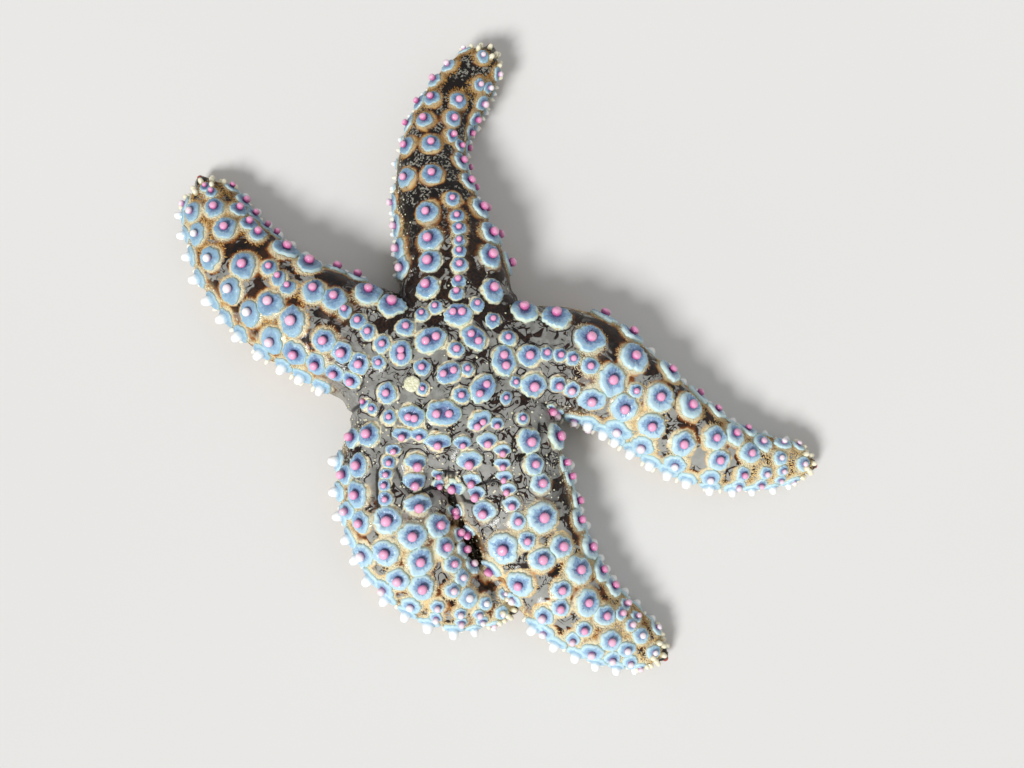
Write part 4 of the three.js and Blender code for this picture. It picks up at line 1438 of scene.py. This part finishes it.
def site_arrays(sites, rng):
    """What the standing and clinging trees and the finishes read, for each site."""
    upright, spots = of_each(sites, "upright"), of_each(sites, "spot")
    east = np.array([1.0, 0, 0])
    ahead = np.array([s.heading if s.kind == "pair" else east for s in sites])
    ahead = unit(ahead - upright * (ahead * upright).sum(1)[:, None])
    pale = np.array([whiteness_and_glare(s) for s in sites])
    pale = np.clip(pale + 0.5 * (rng.random(len(sites)) - 0.5) * (pale > 0.05), 0, 1)
    return {
        "upright": upright, "ahead": ahead, "key": rng.random(len(sites)), "pale": pale,
        "tone": smooth_step(24, 40, np.hypot(spots[:, 0], spots[:, 1])),
        "bright": painted_light_at(spots), "dim": painted_cushion_shade_at(spots),
        "cream": np.array([{"rosette": 1.0, "lower": 0.6}.get(s.kind, 0) for s in sites]),
    }


def whiteness_and_glare(site):
    """Spines are white on the margins and turn white towards the tips; on the flanks turned to the lower
    left, towards the key light, their whiteness is painted glare.
    """
    if site.kind == "margin":
        return 1.0
    if site.arm is None:
        return 0.0
    left = ROUTES[site.arm].length - site.distance
    tip = float(1 - smooth_step(6, 22, left))
    # painted glare on flanks turned to the lower left
    facing = -0.55 * site.upright[0] - 0.65 * site.upright[1]
    glare_on_flank = float(smooth_step(0.3, 0.75, facing))
    if site.arm == "west":
        glare_on_flank = float(smooth_step(0.1, 0.42, facing) * smooth_step(38, 50, site.distance))
        tip *= glare_on_flank
    if site.arm == "southwest":
        tip = float(1 - smooth_step(12, 26, left))
    if site.arm == "southeast":
        glare_on_flank *= float(smooth_step(54, 60, site.distance))
    return max(0.85 * tip, 0.9 * glare_on_flank)


def make_cushions(name, skin, sites, finish, trees, rng):
    arrays = site_arrays(sites, rng)
    radius, spread = of_each(sites, "cushion"), of_each(sites, "spread")
    aspect = 1 + 0.2 * (rng.random(len(sites)) - 0.5)
    slump = np.maximum(0, of_each(sites, "slump"))
    wide = np.where(spread > 0, radius, radius * aspect) * (1 + 0.25 * slump)
    deep = np.where(spread > 0, radius * (1 - 0.18 * spread), radius / aspect) * (1 - 0.3 * slump)
    size = np.stack([wide, deep, radius], 1) * MM
    thick = CUSHION_HEIGHT * np.clip(radius / LARGEST_CUSHION, 0.6, 1.1) * MM
    moat = np.array([moat_drift_and_shadow_of(s, a, u) for s, a, u in zip(sites, arrays["ahead"], arrays["upright"])])
    spots = of_each(sites, "spot") + of_each(sites, "drift")
    places = places_object(name + "_places", spots, size=size, thick=thick, moat=moat,
                           middle=to_frame(spots), **arrays)
    template = cushion_template()
    inputs = {"Template": template, "Finish": finish, "Skin": skin, **CUSHION_RIM}
    grown(name, places, trees["cling"], inputs)
    drop(template, places)


def stand(name, places, profile, sides, trees, finish):
    """Stands a turned shape at each place, as one piece."""
    template = turned_template(name + "_template", profile, sides)
    grown(name, places, trees["stand"], {"Template": template, "Finish": finish})
    drop(template, places)


def knob_places(sites):
    """Each cushion has one spine; those of the pairs have two."""
    spots, owners = [], []
    for site in sites:
        for side in ((-1, 1) if site.kind == "pair" else (0,)):
            spots.append(site.spot + site.heading * side * site.spread)
            owners.append(site)
    return spots, owners


def make_knobs(name, sites, finish, trees, surface, profile, rng):
    spots, owners = knob_places(sites)
    arrays = site_arrays(owners, rng)
    drift = 0.14 * (rng.random((len(owners), 3)) - 0.5)
    outward = np.array([LEAN[s.kind] for s in owners])[:, None] * of_each(owners, "heading")
    south = np.array([[0, -0.35 * s.slump, -0.3 * (s.kind == "margin")] for s in owners])
    arrays["upright"] = unit(arrays["upright"] + outward + drift + south + of_each(owners, "lean"))
    seated = np.array([surface.find_nearest(Vector(to_frame(spot)))[0] for spot in spots]) / MM - CENTRE
    size = np.array([[s.radius, s.radius, s.height] for s in owners])
    size *= (0.93 + 0.14 * rng.random(len(owners)))[:, None] * MM
    places = places_object(name + "_places", seated, size=size, **arrays)
    stand(name, places, profile, SPINE_SIDES, trees, finish)


def give_bake_map(piece):
    """Each grain is a small patch at its root's place on an unwrap of the skin."""
    mesh = piece.data
    flat = (get_vectors(mesh, "unwrap") + get_vectors(mesh, "local") * GRAIN_PATCH)[:, :2]
    corners = read(mesh.loops, "vertex_index", 1, np.int32).ravel()
    mesh.uv_layers.new(name="OFBake").data.foreach_set("uv", flat[corners].astype(np.float32).ravel())


def make_strewn(name, skin, trees, profile, sides, finish, shape, inputs):
    """Grains over the skin: shape is length, width and height as shares of a grain's size."""
    template = turned_template(name + "_template", profile, sides)
    set_places(template.data, get_vectors(template.data, "local") * shape)
    inputs = {"Template": template, "Finish": finish, "Ahead": "outward", **inputs}
    piece = grown(name, skin, trees["strew"], inputs)
    drop(template)
    give_bake_map(piece)


def rosette_sites():
    """A tuft of small blunt spines round each arm's tip."""
    found = []
    for name, route in ROUTES.items():
        for back, angles in ROSETTE:
            distances = np.full(len(angles), route.length - back)
            section = route.at(distances)
            degrees = np.array(angles, float)
            spots, uprights = section.back(degrees), back_normal(route, distances - 0.5, degrees)
            for spot, upright, heading, distance in zip(spots, uprights, section.heading, distances):
                up = unit(upright + heading * (1.1 if back < 2 else 0.5))
                found.append(Site("rosette", spot, up, heading, 1.0, distance, name))
    return found


def lower_sites():
    """Short spines under each margin."""
    found = []
    for name, route in ROUTES.items():
        for angle, start in LOWER_ROWS:
            distances = np.arange(start, route.length - 5, LOWER_STEP)
            section = route.at(distances)
            angles = np.full(len(distances), float(angle))
            spots, uprights = section.back(angles), back_normal(route, distances, angles)
            for i, distance in enumerate(distances):
                size = width_size("margin", section.half[i])
                found.append(Site("lower", spots[i], uprights[i], section.heading[i], size, distance, name))
    return found


def wrinkled(template, wrinkle):
    """Makes a turned template's outline uneven and gives its points."""
    points = get_vectors(template.data, "local")
    for point in points:
        turn = math.atan2(point[1], point[0])
        way = Vector((math.cos(turn), math.sin(turn), point[2] * 0.3)) * 3.0
        point[:2] *= 1 + wrinkle * noise.noise(way)
    return points


def maze_depth(points):
    """How deep a winding groove is cut into the sieve plate's top, from 0 to 1."""
    maze = np.array([abs(noise.noise(Vector((x, y, 4.1)) * 1.7)) for x, y, z in points])
    top = np.hypot(points[:, 0], points[:, 1]) < PLATE_RADIUS
    return (1 - smooth_step(0.05, 0.13, maze)) * top


def set_piece(template, points, node, finish, place, upright=(0, 0, 1)):
    """Moves a template's points to a place in metres and makes it a piece that stands for a node."""
    turn = Vector(upright).to_track_quat("Z", "Y").to_matrix()
    set_places(template.data, points @ np.array(turn).T * MM + np.array(place))
    template.data.materials.append(finish)
    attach(template, "root")
    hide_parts(node)


def box_middle(node):
    low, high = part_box(node)
    return np.array([low.x + high.x, low.y + high.y, low.z + high.z]) / 2


def make_sieve_plate(surface):
    middle = box_middle("madreporite")
    hit = surface.ray_cast(Vector((middle[0], middle[1], 1)), Vector((0, 0, -1)))
    profile = [(PLATE_RADIUS * share, height) for share, height in PLATE_PROFILE]
    template = turned_template("sieve_plate", profile, 48)
    points = wrinkled(template, 0.06)
    groove = maze_depth(points)
    points[:, 2] -= 0.12 * groove
    put_attribute(template.data, "groove", groove)
    upright = hit[1] + Vector((0, 0, 1))
    set_piece(template, points, "madreporite", sieve_finish(), hit[0], upright)


def make_mouth(finish):
    template = turned_template("mouth_lip", LIP_PROFILE, 32)
    middle = box_middle("mouth")
    place = (middle[0], middle[1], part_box("mouth")[0].z)
    set_piece(template, wrinkled(template, 0.2), "mouth", finish, place)


def make_eyespots(finish, surface):
    for name, route in ROUTES.items():
        node = "eyespot_" + name
        heading = route.at(route.length).heading[0]
        template = turned_template(node + "_dome", EYE_PROFILE, 14)
        near = surface.find_nearest(Vector(box_middle(node)))[0]
        place = np.array(near) - heading * 0.2 * MM
        upright = heading + np.array([0, 0, 0.3])
        set_piece(template, wrinkled(template, 0.1), node, finish, place, upright)


def foot_sites(rng):
    """Tube feet in four rows along each groove, hanging from its roof to the floor."""
    spots, uprights, sizes = [], [], []
    for route in ROUTES.values():
        for row, share in enumerate(FOOT_ROWS):
            distances = np.arange(7 + 0.9 * (row % 2), route.length - 3, FOOT_STEP)
            section = route.at(distances)
            width = GROOVE["width"] * section.half
            depth = GROOVE["depth"] * section.height * (1 - 0.55 * abs(share)) + section.lift + SOLE_LIFT
            places = section.place + section.left * (share * width)[:, None]
            for place, top in zip(places, depth):
                spots.append([place[0], place[1], top - 0.2])
                uprights.append([*(0.25 * (rng.random(2) - 0.5)), -1])
                sizes.append([FOOT_RADIUS, FOOT_RADIUS, (top - 0.35) * 0.97])
    sizes = np.array(sizes)
    sizes[:, :2] *= (0.8 + 0.4 * rng.random(len(sizes)))[:, None]
    return np.array(spots), unit(np.array(uprights)), sizes


def make_feet(finish, trees, rng):
    spots, uprights, sizes = foot_sites(rng)
    ahead = np.tile([1.0, 0, 0], (len(spots), 1))
    places = places_object("foot_places", spots, upright=uprights, size=sizes * MM, ahead=ahead)
    stand("tube_feet", places, FOOT_PROFILE, FOOT_SIDES, trees, finish)


def make_camera():
    """Above the animal, looking down with a slight lean from the lower left."""
    eye, target = Vector(to_frame(CAMERA["eye"])), Vector(to_frame(CAMERA["target"]))
    ahead = (target - eye).normalized()
    right = ahead.cross(Vector((0, 1, 0))).normalized()
    data = bpy.data.cameras.new("camera")
    data.sensor_width, data.lens = CAMERA["sensor"], CAMERA["lens"]
    data.clip_start, data.clip_end = 0.01, 10
    camera = placed("camera", data)
    turn = Matrix((right, right.cross(ahead), -ahead)).transposed().to_4x4()
    camera.matrix_world = Matrix.Translation(eye) @ turn
    bpy.context.scene.camera = camera


def make_floor():
    mesh = bpy.data.meshes.new("floor")
    corners = [(x * FLOOR_HALF, y * FLOOR_HALF, 0) for x, y in ((-1, -1), (1, -1), (1, 1), (-1, 1))]
    mesh.from_pydata(corners, [], [(0, 1, 2, 3)])
    floor = placed("floor", mesh)
    f = Finish("pale floor", roughness=0.9, specular=0.2)
    colour = f.mix(f.noise(6, 2), shade(224, 223, 221), shade(229, 228, 226))
    mesh.materials.append(f.wear(Base_Color=colour))


def soft_sun(name, place, spread, strength):
    """A far, soft lamp that shines on the origin from the side of the given place."""
    data = bpy.data.lights.new(name, "SUN")
    data.angle, data.energy = math.radians(spread), strength
    lamp = placed(name, data)
    lamp.location = place
    lamp.rotation_mode = "QUATERNION"
    lamp.rotation_quaternion = (-Vector(place)).to_track_quat("-Z", "Y")


def make_light():
    """Two soft suns and a white sky, dimmer where it lights than where it is seen or mirrored."""
    soft_sun("key", (-0.6, -0.75, 0.95), 18, 2.85)
    soft_sun("fill", (0.7, 0.5, 0.9), 60, 0.25)
    world = bpy.data.worlds.new("world")
    world.use_nodes = True
    sky = Nodes(world.node_tree)
    rays = sky.tree.nodes.new("ShaderNodeLightPath").outputs
    seen = sky.math("MAXIMUM", rays["Is Camera Ray"], rays["Is Glossy Ray"])
    seen = sky.math("MAXIMUM", seen, rays["Is Transmission Ray"])
    background = sky.tree.nodes["Background"].inputs
    background["Color"].default_value = (1, 1, 1, 1)
    strength = sky.add("ShaderNodeMapRange", {}, {"Value": seen, "To Min": 0.36, "To Max": 0.8})
    sky.tree.links.new(strength, background["Strength"])
    bpy.context.scene.world = world
    bpy.context.scene.view_settings.view_transform = "Standard"


# ---- assembly ------------------------------------------------------------------------------------

rng = np.random.default_rng(SEED)
noise.seed_set(SEED)

skin, crease, under = shaped_skin()
sites = settled(arm_sites() + disc_sites(), skin_tree(skin))
backs = eased_apart([s for s in sites if s.kind != "margin"])
margins = [s for s in sites if s.kind == "margin" and not between_lower_arms(s.spot)]
lean_apart(backs + margins)
marked_skin(skin, backs + margins, crease, under)
skin.data.materials.append(skin_finish())
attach(skin, "root")
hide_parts(*[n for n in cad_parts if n.startswith(("disc", "arm"))])

trees = {"stand": standing_tree(), "cling": clinging_tree(), "strew": scattering_tree()}
surface = skin_tree(skin)
rosettes = settled(rosette_sites(), surface)
lowers = settled(lower_sites(), surface)
cushion = cushion_finish()
first_half = len(backs) // 2
make_cushions("cushions_a", skin, backs[:first_half], cushion, trees, rng)
make_cushions("cushions_b", skin, backs[first_half:] + margins, cushion, trees, rng)
make_knobs("knobs", backs, knob_finish(), trees, surface, KNOB_PROFILE, rng)
make_knobs("pegs", margins + rosettes + lowers, peg_finish(), trees, surface, PEG_PROFILE, rng)

fuzz, bead = fuzz_finish(), bead_finish()
for number, name in enumerate(ROUTES):
    inputs = {**FRINGE, "Mask": "fringe_" + name, "Seed": FIRST_FRINGE_SEED + number}
    make_strewn("fringe_" + name, skin, trees, FUZZ_PROFILE, FUZZ_SIDES, fuzz, FRINGE_GRAIN, inputs)
for name, mask, density, largest, seed in BEADS:
    inputs = {
        "Mask": mask, "Density": density, "Seed": seed,
        "Smallest": SMALLEST_BEAD * MM, "Largest": largest * MM,
    }
    make_strewn(name, skin, trees, BEAD_PROFILE, BEAD_SIDES, bead, BEAD, inputs)

make_sieve_plate(surface)
make_mouth(plain_finish("lip", shade(196, 158, 128), shade(226, 200, 168), 500))
make_eyespots(plain_finish("eyespot", shade(120, 34, 26), shade(176, 62, 40), 900), surface)
make_feet(plain_finish("tube foot", shade(206, 186, 142), shade(232, 220, 186), 400), trees, rng)

make_camera()
make_light()
make_floor()
